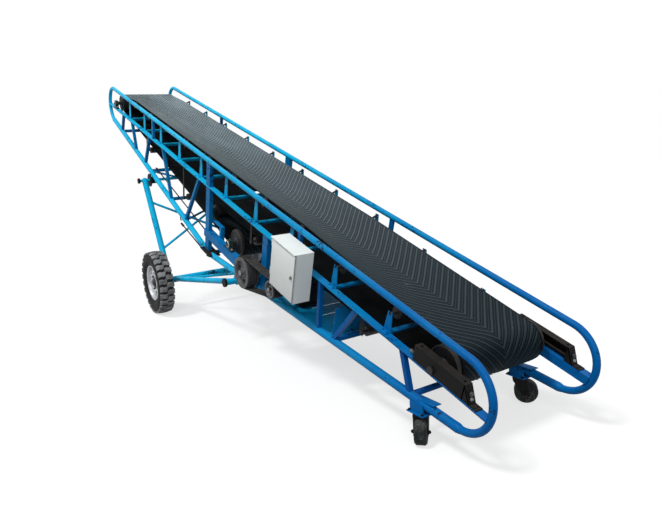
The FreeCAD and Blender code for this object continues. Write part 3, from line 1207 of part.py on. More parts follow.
def build_casters():
    """Swivel casters under the tail of the lower chords, on brackets that are level with the floor."""
    x, chord = CASTER_AT.x, CASTER_AT.z
    plate_z, radius, half = "Dims.caster_height", "Dims.caster_wheel_radius", "(Dims.caster_wheel_width / 2)"
    long, wide, thick = "Dims.caster_plate", "Dims.caster_plate_width", "Dims.caster_plate_thickness"
    trail, fork, crown = "Dims.caster_trail", "Dims.caster_fork", "Dims.caster_crown"
    for label, side in SIDES:
        y = f"({side} * {HALF})"
        pieces = [block(f"{label}_caster_base", (f"{x} - {long} / 2", f"{y} - {wide} / 2", plate_z),
                        (long, wide, thick))]
        for index, sign in enumerate("-+"):
            inner = f"({y} {sign} (Dims.chord_diameter / 2 + {thick} / 2))"
            pieces.append(block(f"{label}_caster_web_{index}",
                                (f"{x} - 0.4 * {long}", f"{inner} - {thick} / 2", plate_z),
                                (f"0.8 * {long}", thick, f"{chord} - {plate_z}")))
        node(f"{label}_caster_bracket", join(f"{label}_caster_bracket", pieces), Placement())
        turn = Placement(vector((x, y, "0")), Rotation(Vector(0, 0, 1), CASTER_YAW[label]))
        top, depth = f"({plate_z} - {FIT})", "Dims.caster_crown_depth"
        cheek_y = f"({half} + {fork})"
        beyond = f"{cheek_y} + Dims.caster_axle_end"
        parts = [block(f"{label}_caster_crown", (f"-{crown} / 2", f"-{crown} / 2", f"{top} - {depth}"),
                       (crown, crown, depth)),
                 tube(f"{label}_caster_axle", (trail, f"-({beyond})", radius), (trail, beyond, radius),
                      "Dims.caster_axle")]
        outline_points = ((f"-{crown} / 2", f"{top} - {depth}"), (f"{crown} / 2", f"{top} - {depth}"),
                          (f"{trail} + 1.5 * Dims.caster_axle", f"{radius} - 1.5 * Dims.caster_axle"),
                          (f"{trail} - 1.5 * Dims.caster_axle", f"{radius} - 1.5 * Dims.caster_axle"))
        for index, sign in enumerate("-+"):
            parts.append(move(plate(f"{label}_caster_cheek_{index}", outline_points, "Dims.caster_cheek"),
                              ("0", f"{sign}{cheek_y}", "0")))
        node(f"{label}_caster_fork", join(f"{label}_caster_fork", parts), turn)
        bore, shoulder = f"(Dims.caster_axle / 2 + {FIT})", "Dims.caster_shoulder"
        tread = ((bore, f"-{half}"), (f"{radius} - {shoulder}", f"-{half}"), (radius, f"-{half} + {shoulder}"),
                 (radius, f"{half} - {shoulder}"), (f"{radius} - {shoulder}", half), (bore, half))
        wheel = move(turned(f"{label}_caster_wheel", tread), (trail, "0", radius))
        node(f"{label}_caster_wheel", wheel, turn)


# ---------------------------------------------------------------- the machine
def build_machine():
    """All the sub-parts, in the order in which the machine goes together."""
    for label, side in SIDES:
        build_side_frame(label, side)
    build_cross_members()
    build_idlers()
    build_return_rollers()
    build_drums()
    build_drive_frame()
    build_belt()
    build_vee_drive()
    build_chain_case()
    build_motor()
    build_platform()
    build_control_box()
    build_take_ups()
    build_drawbar()
    build_legs()
    build_leg_rollers()
    build_road_wheels()
    build_winch()
    build_casters()


def check_document():
    """Stop if any object failed or any sub-part has no valid shape."""
    doc.recompute()
    failed = [thing.Name for thing in doc.Objects if {"Invalid", "Error"} & set(thing.State)]
    failed += [thing.Label for thing in NODES if thing.Shape.isNull() or not thing.Shape.isValid()]
    if failed:
        raise RuntimeError(f"failed: {', '.join(failed)}")


build_machine()
check_document()
os.makedirs("parts", exist_ok=True)
for sub_part in NODES:
    sub_part.Shape.exportStep(f"parts/{sub_part.Label}.step")
print(f"{len(NODES)} sub-parts written")
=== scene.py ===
"""Mobile belt conveyor: finishes for the CAD parts and the finer pieces fitted to them."""
import json
import logging
import math
from dataclasses import dataclass
from enum import Enum
from functools import partial
from typing import Callable, Iterable, Sequence

import bmesh
import bpy
from mathutils import Matrix, Vector

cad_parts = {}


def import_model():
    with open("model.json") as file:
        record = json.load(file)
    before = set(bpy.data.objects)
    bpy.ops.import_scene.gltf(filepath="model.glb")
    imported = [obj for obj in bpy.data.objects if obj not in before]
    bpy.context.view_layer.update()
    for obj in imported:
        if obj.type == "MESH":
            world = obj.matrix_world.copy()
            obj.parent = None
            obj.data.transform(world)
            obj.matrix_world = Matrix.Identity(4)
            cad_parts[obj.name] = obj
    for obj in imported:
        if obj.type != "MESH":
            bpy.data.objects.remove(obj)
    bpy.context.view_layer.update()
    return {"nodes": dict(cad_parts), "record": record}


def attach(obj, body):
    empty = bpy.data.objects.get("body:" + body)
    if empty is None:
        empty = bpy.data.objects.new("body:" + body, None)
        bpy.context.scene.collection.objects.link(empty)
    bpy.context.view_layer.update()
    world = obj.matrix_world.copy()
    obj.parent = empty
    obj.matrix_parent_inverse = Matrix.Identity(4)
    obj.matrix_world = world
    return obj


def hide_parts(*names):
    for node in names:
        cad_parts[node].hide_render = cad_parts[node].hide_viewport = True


LOG = logging.getLogger("conveyor")
TILT = math.radians(18)
MACHINE = Matrix.Translation((3.202903, 0.0, 0.755991)) @ Matrix.Rotation(TILT, 4, "Y")
BELT_UP = Vector((math.sin(TILT), 0.0, math.cos(TILT)))
DUST_AND_SHADE_EDGE = 0.09
MIX_COLOUR_INPUTS = (6, 7)
FRAME = "conveyor_frame"
SIDES = (("left", -1), ("right", 1))
Piece, Material = bpy.types.Object, bpy.types.Material
Tree, Socket = bpy.types.NodeTree, bpy.types.NodeSocket
Colour = tuple[int, int, int]
Pair = tuple[float, float]
Triple = tuple[float, float, float]


class Turn(Enum):
    """Which way a turned shape's axis, first made upright, ends up."""

    UP = Matrix.Identity(4)
    ACROSS = Matrix.Rotation(-math.pi / 2, 4, "X")
    ALONG = Matrix.Rotation(math.pi / 2, 4, "Y")


# ---------------------------------------------------------------- shaping
def start_clean() -> None:
    """Leave edit mode and deselect everything."""
    if bpy.context.object and bpy.context.object.mode != "OBJECT":
        bpy.ops.object.mode_set(mode="OBJECT")
    bpy.ops.object.select_all(action="DESELECT")


def pick(piece: Piece) -> None:
    """Make one piece the only selected and the active one.

    Args:
        piece: the piece to work on.
    """
    start_clean()
    piece.select_set(True)
    bpy.context.view_layer.objects.active = piece


def choose_faces(piece: Piece, test: Callable[[bmesh.types.BMFace], bool]) -> None:
    """Go into edit mode and select the faces that pass a test.

    Args:
        piece: the piece to work on.
        test: says of a face whether it is selected.
    """
    pick(piece)
    bpy.ops.object.mode_set(mode="EDIT")
    bpy.ops.mesh.select_mode(type="FACE")
    bpy.ops.mesh.select_all(action="DESELECT")
    shape = bmesh.from_edit_mesh(piece.data)
    for face in shape.faces:
        face.select_set(test(face))
    bmesh.update_edit_mesh(piece.data)


def close_up(piece: Piece) -> None:
    """Merge doubled points, turn the faces outwards and leave edit mode.

    Args:
        piece: the piece to work on.
    """
    pick(piece)
    bpy.ops.object.mode_set(mode="EDIT")
    bpy.ops.mesh.select_all(action="SELECT")
    bpy.ops.mesh.remove_doubles(threshold=1e-5)
    bpy.ops.mesh.normals_make_consistent(inside=False)
    bpy.ops.object.mode_set(mode="OBJECT")


def bevelled(piece: Piece, width: float, segments: int = 2) -> Piece:
    """Round a piece's sharp edges.

    Args:
        piece: the piece to work on.
        width: how far the rounding reaches, in metres.
        segments: how many faces go round an edge.

    Returns:
        The same piece.
    """
    pick(piece)
    soften = piece.modifiers.new("edges", "BEVEL")
    soften.width, soften.segments, soften.limit_method = width, segments, "ANGLE"
    soften.angle_limit = math.radians(35)
    bpy.ops.object.modifier_apply(modifier=soften.name)
    return piece


def turned(profile: Sequence[Pair], steps: int = 32, turn: Turn = Turn.ACROSS) -> Piece:
    """Shape spun round its axis.

    Args:
        profile: its (radius, height) points in order, in metres.
        steps: how many faces go round.
        turn: where its axis points in the end.

    Returns:
        The new piece, at the origin.
    """
    start_clean()
    bpy.ops.mesh.primitive_circle_add(vertices=len(profile), radius=1)
    piece = bpy.context.object
    for vertex, (radius, height) in zip(piece.data.vertices, profile):
        vertex.co = (radius, 0.0, height)
    bpy.ops.object.mode_set(mode="EDIT")
    bpy.ops.mesh.select_all(action="SELECT")
    bpy.ops.mesh.spin(steps=steps, angle=2 * math.pi, center=(0, 0, 0), axis=(0, 0, 1))
    close_up(piece)
    piece.data.transform(turn.value)
    return piece


def cut_plate(outline: Sequence[Pair], thickness: float, edge: float = 0.0) -> Piece:
    """Plate cut to an outline, its thickness centred across the machine.

    Args:
        outline: the outline's (x, z) points, in metres.
        thickness: the plate's thickness.
        edge: how far its edges are rounded.

    Returns:
        The new piece.
    """
    start_clean()
    bpy.ops.mesh.primitive_circle_add(vertices=len(outline), radius=1, fill_type="NGON")
    piece = bpy.context.object
    for vertex, (x, z) in zip(piece.data.vertices, outline):
        vertex.co = (x, -thickness / 2, z)
    bpy.ops.object.mode_set(mode="EDIT")
    bpy.ops.mesh.select_all(action="SELECT")
    bpy.ops.mesh.extrude_region_move(TRANSFORM_OT_translate={"value": (0, thickness, 0)})
    close_up(piece)
    return bevelled(piece, edge) if edge else piece


def bar(size: Triple, edge: float, taper: float = 1.0) -> Piece:
    """Rounded block, narrower at its top when it tapers.

    Args:
        size: its three sizes, in metres.
        edge: how far its edges are rounded.
        taper: the top's size against the bottom's.

    Returns:
        The new piece, centred on the origin.
    """
    start_clean()
    bpy.ops.mesh.primitive_cube_add(size=1, scale=size)
    piece = bpy.context.object
    bpy.ops.object.transform_apply(location=True, rotation=True, scale=True)
    choose_faces(piece, lambda face: face.normal.z > 0.5)
    if taper != 1.0:
        bpy.ops.transform.resize(value=(taper, taper, 1))
    bpy.ops.object.mode_set(mode="OBJECT")
    return bevelled(piece, edge)


def looped(path: Sequence[tuple[Vector, Vector]], section: Sequence[Pair]) -> Piece:
    """Closed loop of one section, such as a V-belt.

    Args:
        path: for each place its point and the way out, both in the loop's plane.
        section: the section's points, (out, across).

    Returns:
        The new piece.
    """
    start_clean()
    bpy.ops.mesh.primitive_torus_add(major_segments=len(path), minor_segments=len(section))
    piece = bpy.context.object
    count = len(section)
    for index, (point, out) in enumerate(path):
        for number, (rise, across) in enumerate(section):
            piece.data.vertices[index * count + number].co = point + out * rise + sideways(across)
    close_up(piece)
    return piece


def draped(rows: Sequence[Sequence[Vector]]) -> Piece:
    """Sheet through rows of points.

    Args:
        rows: rows of points, all of one length.

    Returns:
        The new piece, without thickness.
    """
    start_clean()
    wide, deep = len(rows[0]), len(rows)
    bpy.ops.mesh.primitive_grid_add(x_subdivisions=wide - 1, y_subdivisions=deep - 1, size=1)
    piece = bpy.context.object
    for index, vertex in enumerate(piece.data.vertices):
        vertex.co = rows[index // wide][index % wide]
    return piece


def wire(points: Sequence[Vector], radius: float) -> Piece:
    """Straight runs of round wire, rope or rod through points.

    Args:
        points: the points it runs through.
        radius: its radius in metres.

    Returns:
        The new piece.
    """
    start_clean()
    line = bpy.data.curves.new("wire", "CURVE")
    line.dimensions, line.bevel_depth, line.bevel_resolution, line.use_fill_caps = "3D", radius, 3, True
    run = line.splines.new("POLY")
    run.points.add(len(points) - 1)
    for spot, point in zip(run.points, points):
        spot.co = (*point, 1)
    piece = bpy.data.objects.new("wire", line)
    bpy.context.scene.collection.objects.link(piece)
    pick(piece)
    bpy.ops.object.convert(target="MESH")
    return bpy.context.object


def joined(pieces: Sequence[Piece]) -> Piece:
    """Join pieces into the first of them.

    Args:
        pieces: the pieces.

    Returns:
        The one piece that is left.
    """
    start_clean()
    for piece in pieces:
        piece.select_set(True)
    bpy.context.view_layer.objects.active = pieces[0]
    if len(pieces) > 1:
        bpy.ops.object.join()
    return pieces[0]


def stamped(template: Piece, places: Iterable[Matrix]) -> Piece:
    """Copies of one piece's mesh at many places, with the template taken away.

    Args:
        template: the piece that is copied.
        places: where each copy goes.

    Returns:
        One piece that holds the copies.
    """
    whole = bmesh.new()
    for place in places:
        copy = template.data.copy()
        copy.transform(place)
        whole.from_mesh(copy)
        bpy.data.meshes.remove(copy)
    mesh = bpy.data.meshes.new("copies")
    whole.to_mesh(mesh)
    whole.free()
    bpy.data.objects.remove(template)
    piece = bpy.data.objects.new("copies", mesh)
    bpy.context.scene.collection.objects.link(piece)
    return piece


def shift(x: float, y: float, z: float) -> Matrix:
    """Move by three distances in metres."""
    return Matrix.Translation((x, y, z))


def sideways(distance: float) -> Vector:
    """Step across the machine, in metres."""
    return Vector((0, distance, 0))


def round_y(angle: float) -> Matrix:
    """Turn about the machine's cross axis, in radians."""
    return Matrix.Rotation(angle, 4, "Y")


def moved(piece: Piece, x: float, y: float, z: float) -> Piece:
    """Shift a piece's mesh by three distances in metres, and hand the piece back."""
    piece.data.transform(shift(x, y, z))
    return piece


def around(count: int, offset: float = 0.0) -> list[float]:
    """Angles spread evenly round a circle, in radians."""
    return [2 * math.pi * (index + offset) / count for index in range(count)]


def oval_cutter(half: Pair, reach: float, steps: int, depth: float) -> Piece:
    """Build the cutter of an oval window.

    Args:
        half: half its length and half its height.
        reach: how far it is from the wheel's axis.
        steps: how many faces go round it.
        depth: how far it goes through.

    Returns:
        The cutter.
    """
    return cut_plate([(half[0] * math.cos(turn), reach + half[1] * math.sin(turn)) for turn in around(steps)],
                     depth)


def facing_out(side: int) -> Matrix:
    """Turn for a shape made for the far side: half round on the near side (-1), none on the far one (1)."""
    return Matrix.Rotation(math.pi if side < 0 else 0.0, 4, "Z")


def both_sides(distance: float) -> list[Matrix]:
    """Steps out to the near and to the far side, in metres."""
    return [shift(0, side * distance, 0) for side in (-1, 1)]


def facing(point: Sequence[float], way: Sequence[float]) -> Matrix:
    """Place whose upright axis points a given way.

    Args:
        point: where it is.
        way: the way its upright axis points.

    Returns:
        The place.
    """
    return Matrix.Translation(point) @ Vector((0, 0, 1)).rotation_difference(Vector(way)).to_matrix().to_4x4()


def bolts(places: Sequence[Matrix], size: float) -> Piece:
    """Hexagon bolts with washers and stud ends.

    Args:
        places: where each stands; its shank points down.
        size: the thread's diameter.

    Returns:
        One piece that holds them all.
    """
    washer = turned(((0, -0.0005), (size * 1.05, -0.0005), (size * 1.05, size * 0.14), (0, size * 0.14)), 14,
                    Turn.UP)
    head = turned(((0, 0), (size * 0.9, 0), (size * 0.9, size * 0.6), (size * 0.76, size * 0.72),
                   (0, size * 0.72)), 6, Turn.UP)
    head.data.transform(shift(0, 0, size * 0.13))
    stud = turned(((0, 0), (size * 0.46, 0), (size * 0.46, size * 1.1), (size * 0.36, size * 1.2),
                   (0, size * 1.2)), 10, Turn.UP)
    return stamped(joined([washer, head, stud]), places)


# ---------------------------------------------------------------- finishes
def linear(colour: Colour) -> tuple[float, float, float, float]:
    """Screen colour, 0 to 255, as the shader's linear colour."""
    parts = [value / 255 for value in colour]
    return (*[part / 12.92 if part <= 0.04045 else ((part + 0.055) / 1.055) ** 2.4 for part in parts], 1.0)


class Effect(Enum):
    """The shared surface effects, each one shader node group."""

    MOTTLE = "slow change of tone"
    CHIPS = "chipped and rubbed spots"
    DUST = "dust on upward faces"
    GRAIN = "fine grain"


def new_group(effect: Effect, inputs: Sequence[tuple[str, str, float]], output: str) -> Tree:
    """Start a node group with its sockets.

    Args:
        effect: which effect it is.
        inputs: each input's name, socket type and value.
        output: the output's name.

    Returns:
        The group, with its input and output nodes.
    """
    group = bpy.data.node_groups.new(effect.value, "ShaderNodeTree")
    for name, kind, value in inputs:
        socket = group.interface.new_socket(name, in_out="INPUT", socket_type=kind)
        if kind == "NodeSocketFloat":
            socket.default_value = value
    group.interface.new_socket(output, in_out="OUTPUT", socket_type="NodeSocketFloat")
    group.nodes.new("NodeGroupInput").name = "in"
    group.nodes.new("NodeGroupOutput").name = "out"
    return group


def feed(tree: Tree, socket: Socket, value: object) -> None:
    """Join a socket to another one, or set its value.

    Args:
        tree: the node tree.
        socket: the input that is fed.
        value: a socket or a plain value.
    """
    if isinstance(value, Socket):
        tree.links.new(value, socket)
    else:
        socket.default_value = value


def math_node(tree: Tree, operation: str, first: object, second: object) -> Socket:
    """Arithmetic node on sockets or numbers.

    Args:
        tree: the node tree.
        operation: the node's operation.
        first: a socket or a number.
        second: a socket or a number.

    Returns:
        The node's result.
    """
    node = tree.nodes.new("ShaderNodeMath")
    node.operation = operation
    for socket, value in zip(node.inputs, (first, second)):
        feed(tree, socket, value)
    return node.outputs[0]


def stretch(tree: Tree, value: Socket, low: object, high: object) -> Socket:
    """Smooth step of a value between two levels.

    Args:
        tree: the node tree.
        value: what is stretched.
        low: the level that gives 0, a number or a socket.
        high: the level that gives 1, a number or a socket.

    Returns:
        The result, between 0 and 1.
    """
    node = tree.nodes.new("ShaderNodeMapRange")
    node.interpolation_type = "SMOOTHSTEP"
    tree.links.new(value, node.inputs["Value"])
    feed(tree, node.inputs["From Min"], low)
    feed(tree, node.inputs["From Max"], high)
    return node.outputs["Result"]


def noise(tree: Tree, vector: Socket, scale: object, detail: float, roughness: float = 0.5) -> Socket:
    """Noise texture's value.

    Args:
        tree: the node tree.
        vector: where it is read.
        scale: its scale, a number or a socket.
        detail: how many finer layers it has.
        roughness: how strong those are.

    Returns:
        The value, about 0.5 on average.
    """
    node = tree.nodes.new("ShaderNodeTexNoise")
    tree.links.new(vector, node.inputs["Vector"])
    feed(tree, node.inputs["Scale"], scale)
    node.inputs["Detail"].default_value, node.inputs["Roughness"].default_value = detail, roughness
    return node.outputs["Fac"]


def build_effects() -> dict[Effect, Tree]:
    """Build the shared effects.

    Returns:
        Each effect's node group.
    """
    groups = {}
    vector, number = "NodeSocketVector", "NodeSocketFloat"
    group = new_group(Effect.MOTTLE, (("Vector", vector, 0), ("Scale", number, 3), ("Contrast", number, 0.2)),
                      "Mask")
    given = group.nodes["in"].outputs
    value = noise(group, given["Vector"], given["Scale"], 5, 0.6)
    low = math_node(group, "SUBTRACT", 0.5, given["Contrast"])
    high = math_node(group, "ADD", 0.5, given["Contrast"])
    group.links.new(stretch(group, value, low, high), group.nodes["out"].inputs["Mask"])
    groups[Effect.MOTTLE] = group
    group = new_group(Effect.CHIPS, (("Vector", vector, 0), ("Scale", number, 60), ("Spread", number, 0.6)),
                      "Mask")
    given = group.nodes["in"].outputs
    fine = noise(group, given["Vector"], given["Scale"], 6, 0.7)
    coarse = noise(group, given["Vector"], math_node(group, "MULTIPLY", given["Scale"], 0.09), 3, 0.6)
    both = math_node(group, "ADD", math_node(group, "MULTIPLY", fine, 0.55),
                     math_node(group, "MULTIPLY", coarse, 0.45))
    edge = math_node(group, "ADD", given["Spread"], 0.025)
    group.links.new(stretch(group, both, given["Spread"], edge), group.nodes["out"].inputs["Mask"])
    groups[Effect.CHIPS] = group
    group = new_group(Effect.DUST, (("Vector", vector, 0), ("Scale", number, 6), ("Cover", number, 0)),
                      "Mask")
    given = group.nodes["in"].outputs
    geometry = group.nodes.new("ShaderNodeNewGeometry")
    split = group.nodes.new("ShaderNodeSeparateXYZ")
    group.links.new(geometry.outputs["Normal"], split.inputs[0])
    upward = stretch(group, split.outputs["Z"], 0.25, 1.0)
    patches = stretch(group, noise(group, given["Vector"], given["Scale"], 7, 0.65), 0.38, 0.66)
    bare = math_node(group, "SUBTRACT", 1.0, given["Cover"])
    covered = math_node(group, "ADD", math_node(group, "MULTIPLY", patches, bare), given["Cover"])
    group.links.new(math_node(group, "MULTIPLY", upward, covered), group.nodes["out"].inputs["Mask"])
    groups[Effect.DUST] = group
    group = new_group(Effect.GRAIN, (("Vector", vector, 0), ("Scale", number, 200)), "Height")
    given = group.nodes["in"].outputs
    fine = noise(group, given["Vector"], given["Scale"], 3, 0.6)
    broad = noise(group, given["Vector"], math_node(group, "MULTIPLY", given["Scale"], 0.12), 2, 0.5)
    group.links.new(math_node(group, "ADD", math_node(group, "MULTIPLY", fine, 0.4), broad),
                    group.nodes["out"].inputs["Height"])
    groups[Effect.GRAIN] = group
    return groups


@dataclass(frozen=True)
class Finish:
    """One finish: its tones, its wear and its gloss."""

    name: str
    base: Colour
    tone: Colour
    worn: Colour
    dust: Colour = (150, 146, 138)
    mottle_scale: float = 2.2
    mottle_contrast: float = 0.16
    chip_scale: float = 70.0
    chip_spread: float = 0.62
    dust_amount: float = 0.12
    dust_scale: float = 5.0
    dust_cover: float = 0.0
    dust_at_tail: float = 1.0
    specular: float = 0.5
    roughness: float = 0.4
    roughness_change: float = 0.12
    metallic: float = 0.0
    coat: float = 0.0
    grain_scale: float = 300.0
    grain_depth: float = 0.0004
    stretch_by: Triple = (1.0, 1.0, 1.0)
    # The tail tone and fade darken the colour towards the tail: painted shade on the tail end.
    tail_tone: Colour | None = None
    fade: Pair = (-2.4, 3.5)
    # Below the height on the next line no dust settles; on the belts this keeps the return strand and the
    # drums' undersides dark: painted shade.
    dust_and_shade_level: float = -9.0

    def build(self, effects: dict[Effect, Tree]) -> Material:
        """Build the material.

        Args:
            effects: the shared effects' node groups.

        Returns:
            The material.
        """
        material = bpy.data.materials.new(self.name)
        material.use_nodes = True
        tree = material.node_tree
        shader = tree.nodes["Principled BSDF"]
        shader.inputs["Coat Weight"].default_value = self.coat
        shader.inputs["Coat Roughness"].default_value = 0.18
        shader.inputs["Specular IOR Level"].default_value = self.specular
        shader.inputs["Metallic"].default_value = self.metallic
        place = tree.nodes.new("ShaderNodeTexCoord").outputs["Object"]
        mapped = tree.nodes.new("ShaderNodeMapping")
        tree.links.new(place, mapped.inputs["Vector"])
        mapped.inputs["Scale"].default_value = self.stretch_by
        mottle = self.effect(tree, effects[Effect.MOTTLE], mapped.outputs[0],
                             {"Scale": self.mottle_scale, "Contrast": self.mottle_contrast})
        chips = self.effect(tree, effects[Effect.CHIPS], place,
                            {"Scale": self.chip_scale, "Spread": self.chip_spread})
        dust = self.effect(tree, effects[Effect.DUST], mapped.outputs[0],
                           {"Scale": self.dust_scale, "Cover": self.dust_cover})
        grain = self.effect(tree, effects[Effect.GRAIN], place, {"Scale": self.grain_scale})
        base = self.mixed(tree, mottle, linear(self.base), linear(self.tone))
        amount = self.dust_amount
        # Towards the tail the base colour darkens to the tail tone, which is painted shade, and the dust
        # share changes as set.
        if self.tail_tone:
            split = tree.nodes.new("ShaderNodeSeparateXYZ")
            tree.links.new(place, split.inputs[0])
            wavy = math_node(tree, "ADD", split.outputs["X"], math_node(tree, "MULTIPLY", mottle, 0.5))
            towards_tail = stretch(tree, wavy, *self.fade)
            base = self.mixed(tree, towards_tail, base, linear(self.tail_tone))
            loss = self.dust_amount * (self.dust_at_tail - 1)
            amount = math_node(tree, "ADD", math_node(tree, "MULTIPLY", towards_tail, loss), self.dust_amount)
            # Below the set height the dust is cut off, which leaves the belts' lower parts dark as painted
            # shade.
            height = tree.nodes.new("ShaderNodeVectorMath")
            height.operation = "DOT_PRODUCT"
            tree.links.new(place, height.inputs[0])
            height.inputs[1].default_value = BELT_UP
            level = self.dust_and_shade_level + BELT_UP @ MACHINE.translation
            on_top = stretch(tree, height.outputs["Value"], level - DUST_AND_SHADE_EDGE, level)
            amount = math_node(tree, "MULTIPLY", amount, on_top)
        rubbed = self.mixed(tree, chips, base, linear(self.worn))
        settled = math_node(tree, "MULTIPLY", dust, amount)
        tree.links.new(self.mixed(tree, settled, rubbed, linear(self.dust)), shader.inputs["Base Color"])
        rough = math_node(tree, "ADD", math_node(tree, "MULTIPLY", mottle, self.roughness_change),
                          self.roughness)
        rougher = math_node(tree, "ADD", rough, math_node(tree, "MULTIPLY", settled, 0.3))
        tree.links.new(rougher, shader.inputs["Roughness"])
        bump = tree.nodes.new("ShaderNodeBump")
        bump.inputs["Strength"].default_value, bump.inputs["Distance"].default_value = 0.6, self.grain_depth
        lowered = math_node(tree, "SUBTRACT", grain, math_node(tree, "MULTIPLY", chips, 0.7))
        tree.links.new(lowered, bump.inputs["Height"])
        tree.links.new(bump.outputs[0], shader.inputs["Normal"])
        return material

    @staticmethod
    def effect(tree: Tree, group: Tree, vector: Socket, values: dict[str, float]) -> Socket:
        """Place a shared effect in a material.

        Args:
            tree: the material's nodes.
            group: the effect's group.
            vector: where the effect is read.
            values: its inputs' values.

        Returns:
            The effect's output.
        """
        node = tree.nodes.new("ShaderNodeGroup")
        node.node_tree = group
        tree.links.new(vector, node.inputs["Vector"])
        for name, value in values.items():
            node.inputs[name].default_value = value
        return node.outputs[0]

    @staticmethod
    def mixed(tree: Tree, share: Socket, first: object, second: object) -> Socket:
        """Mix two colours by a share.

        Args:
            tree: the material's nodes.
            share: 0 for the first colour, 1 for the second.
            first: a colour or a socket.
            second: a colour or a socket.

        Returns:
            The mixed colour.
        """
        node = tree.nodes.new("ShaderNodeMix")
        node.data_type = "RGBA"
        tree.links.new(share, node.inputs["Factor"])
        for index, colour in zip(MIX_COLOUR_INPUTS, (first, second)):
            feed(tree, node.inputs[index], colour)
        return node.outputs[2]


# Belts: no dust below a height just under the top run, which keeps the return strand and the drums'
# undersides dark as painted shade.
belt_finish = partial(Finish, mottle_scale=1.6, mottle_contrast=0.2, grain_scale=240, dust_scale=1.6,
                      stretch_by=(0.5, 3.0, 1.0), fade=(-3.4, 4.1), dust_and_shade_level=-0.2)
FINISHES = (
    # The frame blue darkens towards the tail: painted shade on the tail end.
    Finish("blue_paint", (20, 188, 232), (0, 176, 224), (6, 40, 78), roughness=0.36, chip_spread=0.572,
           specular=0.07, chip_scale=46, dust_amount=0.03, tail_tone=(0, 90, 160), mottle_contrast=0.2,
           fade=(-1.2, 4.2)),
    # A darker, less cyan copy of the frame blue for the lower and inner members: painted shade.
    Finish("shaded_blue_paint", (0, 124, 184), (0, 108, 168), (6, 36, 66), roughness=0.4, chip_spread=0.576,
           specular=0.08, chip_scale=46, dust_amount=0.04, tail_tone=(0, 74, 146), mottle_contrast=0.2,
           fade=(-1.2, 4.2)),
    # The belt darkens towards the tail, where its tail tone stands in for the shade on the tail drum: painted
    # shade.
    belt_finish("belt_rubber", (18, 22, 24), (13, 16, 18), (50, 56, 58), roughness=0.66, grain_depth=0.0008,
                dust_amount=0.9, dust=(130, 147, 158), dust_cover=0.62, dust_at_tail=0.03, specular=0.06,
                chip_spread=0.64, tail_tone=(5, 10, 14)),
    # The ribs, coarse and fine, are lighter than the belt: partly dust on the crests and partly painted
    # highlight on the crests.
    belt_finish("belt_ribs", (32, 38, 38), (24, 29, 30), (84, 90, 86), roughness=0.62, grain_depth=0.0006,
                dust_amount=0.95, dust=(168, 182, 184), dust_cover=0.72, dust_at_tail=0.06, specular=0.1,
                chip_spread=0.62, tail_tone=(12, 30, 38)),
    belt_finish("belt_fine_ribs", (26, 31, 32), (20, 24, 25), (70, 76, 74), roughness=0.62,
                grain_depth=0.0006, dust_amount=0.9, dust=(150, 166, 172), dust_cover=0.66, dust_at_tail=0.06,
                specular=0.1, chip_spread=0.62, tail_tone=(9, 24, 31)),
    Finish("hub_iron", (40, 42, 44), (54, 54, 54), (96, 84, 72), roughness=0.45, metallic=0.3,
           chip_spread=0.62),
    Finish("wire_rope", (12, 12, 13), (22, 21, 20), (60, 54, 48), roughness=0.6, grain_scale=600,
           grain_depth=0.001, specular=0.2),
    Finish("black_paint", (10, 9, 9), (16, 14, 14), (50, 43, 38), roughness=0.5, dust_amount=0.26,
           chip_spread=0.605, dust=(78, 71, 66), dust_cover=0.3, specular=0.1),
    Finish("roller_steel", (26, 26, 28), (36, 35, 34), (84, 76, 68), roughness=0.5, metallic=0.2,
           chip_spread=0.64, specular=0.3),
    Finish("cast_iron", (76, 77, 79), (58, 58, 60), (112, 106, 100), roughness=0.42, metallic=0.3,
           chip_spread=0.62, grain_depth=0.0007),
    Finish("bearing_paint", (10, 38, 34), (15, 48, 41), (52, 64, 60), roughness=0.36, chip_spread=0.6,
           specular=0.35),
    Finish("cabinet_paint", (231, 236, 234), (223, 229, 227), (122, 122, 118), roughness=0.42,
           chip_spread=0.69, dust_amount=0.05, grain_scale=500, grain_depth=0.0002, specular=0.3),
    Finish("motor_paint", (20, 24, 30), (27, 31, 37), (76, 76, 76), roughness=0.45, dust_amount=0.2,
           specular=0.3),
    Finish("shaft_steel", (150, 150, 150), (122, 120, 118), (84, 72, 62), roughness=0.32, metallic=0.8,
           mottle_scale=30, chip_spread=0.6),
    Finish("vee_rubber", (20, 21, 21), (28, 28, 27), (58, 56, 54), roughness=0.66, dust_amount=0.2,
           specular=0.2),
    Finish("tyre", (24, 25, 26), (34, 34, 34), (70, 67, 63), roughness=0.72, dust_amount=0.3,
           dust=(96, 92, 86), grain_depth=0.0008, mottle_scale=6, specular=0.2),
    # The tread blocks' light grey stands in for the highlights on their lit faces: painted highlight, with
    # some real dust.
    Finish("highlit_tyre_blocks", (142, 143, 143), (96, 98, 100), (60, 58, 56), roughness=0.66, dust_amount=0.3,
           dust=(150, 147, 142), grain_depth=0.0008, mottle_scale=12, chip_spread=0.58, specular=0.25),
    Finish("rim_paint", (200, 203, 206), (166, 170, 174), (84, 76, 70), roughness=0.36, metallic=0.25,
           chip_spread=0.62, mottle_scale=7),
    Finish("caster_rubber", (14, 17, 19), (40, 46, 46), (86, 90, 86), roughness=0.7, dust_amount=0.2,
           mottle_scale=30, mottle_contrast=0.05, chip_scale=110, chip_spread=0.58, grain_depth=0.001,
           specular=0.2),
)


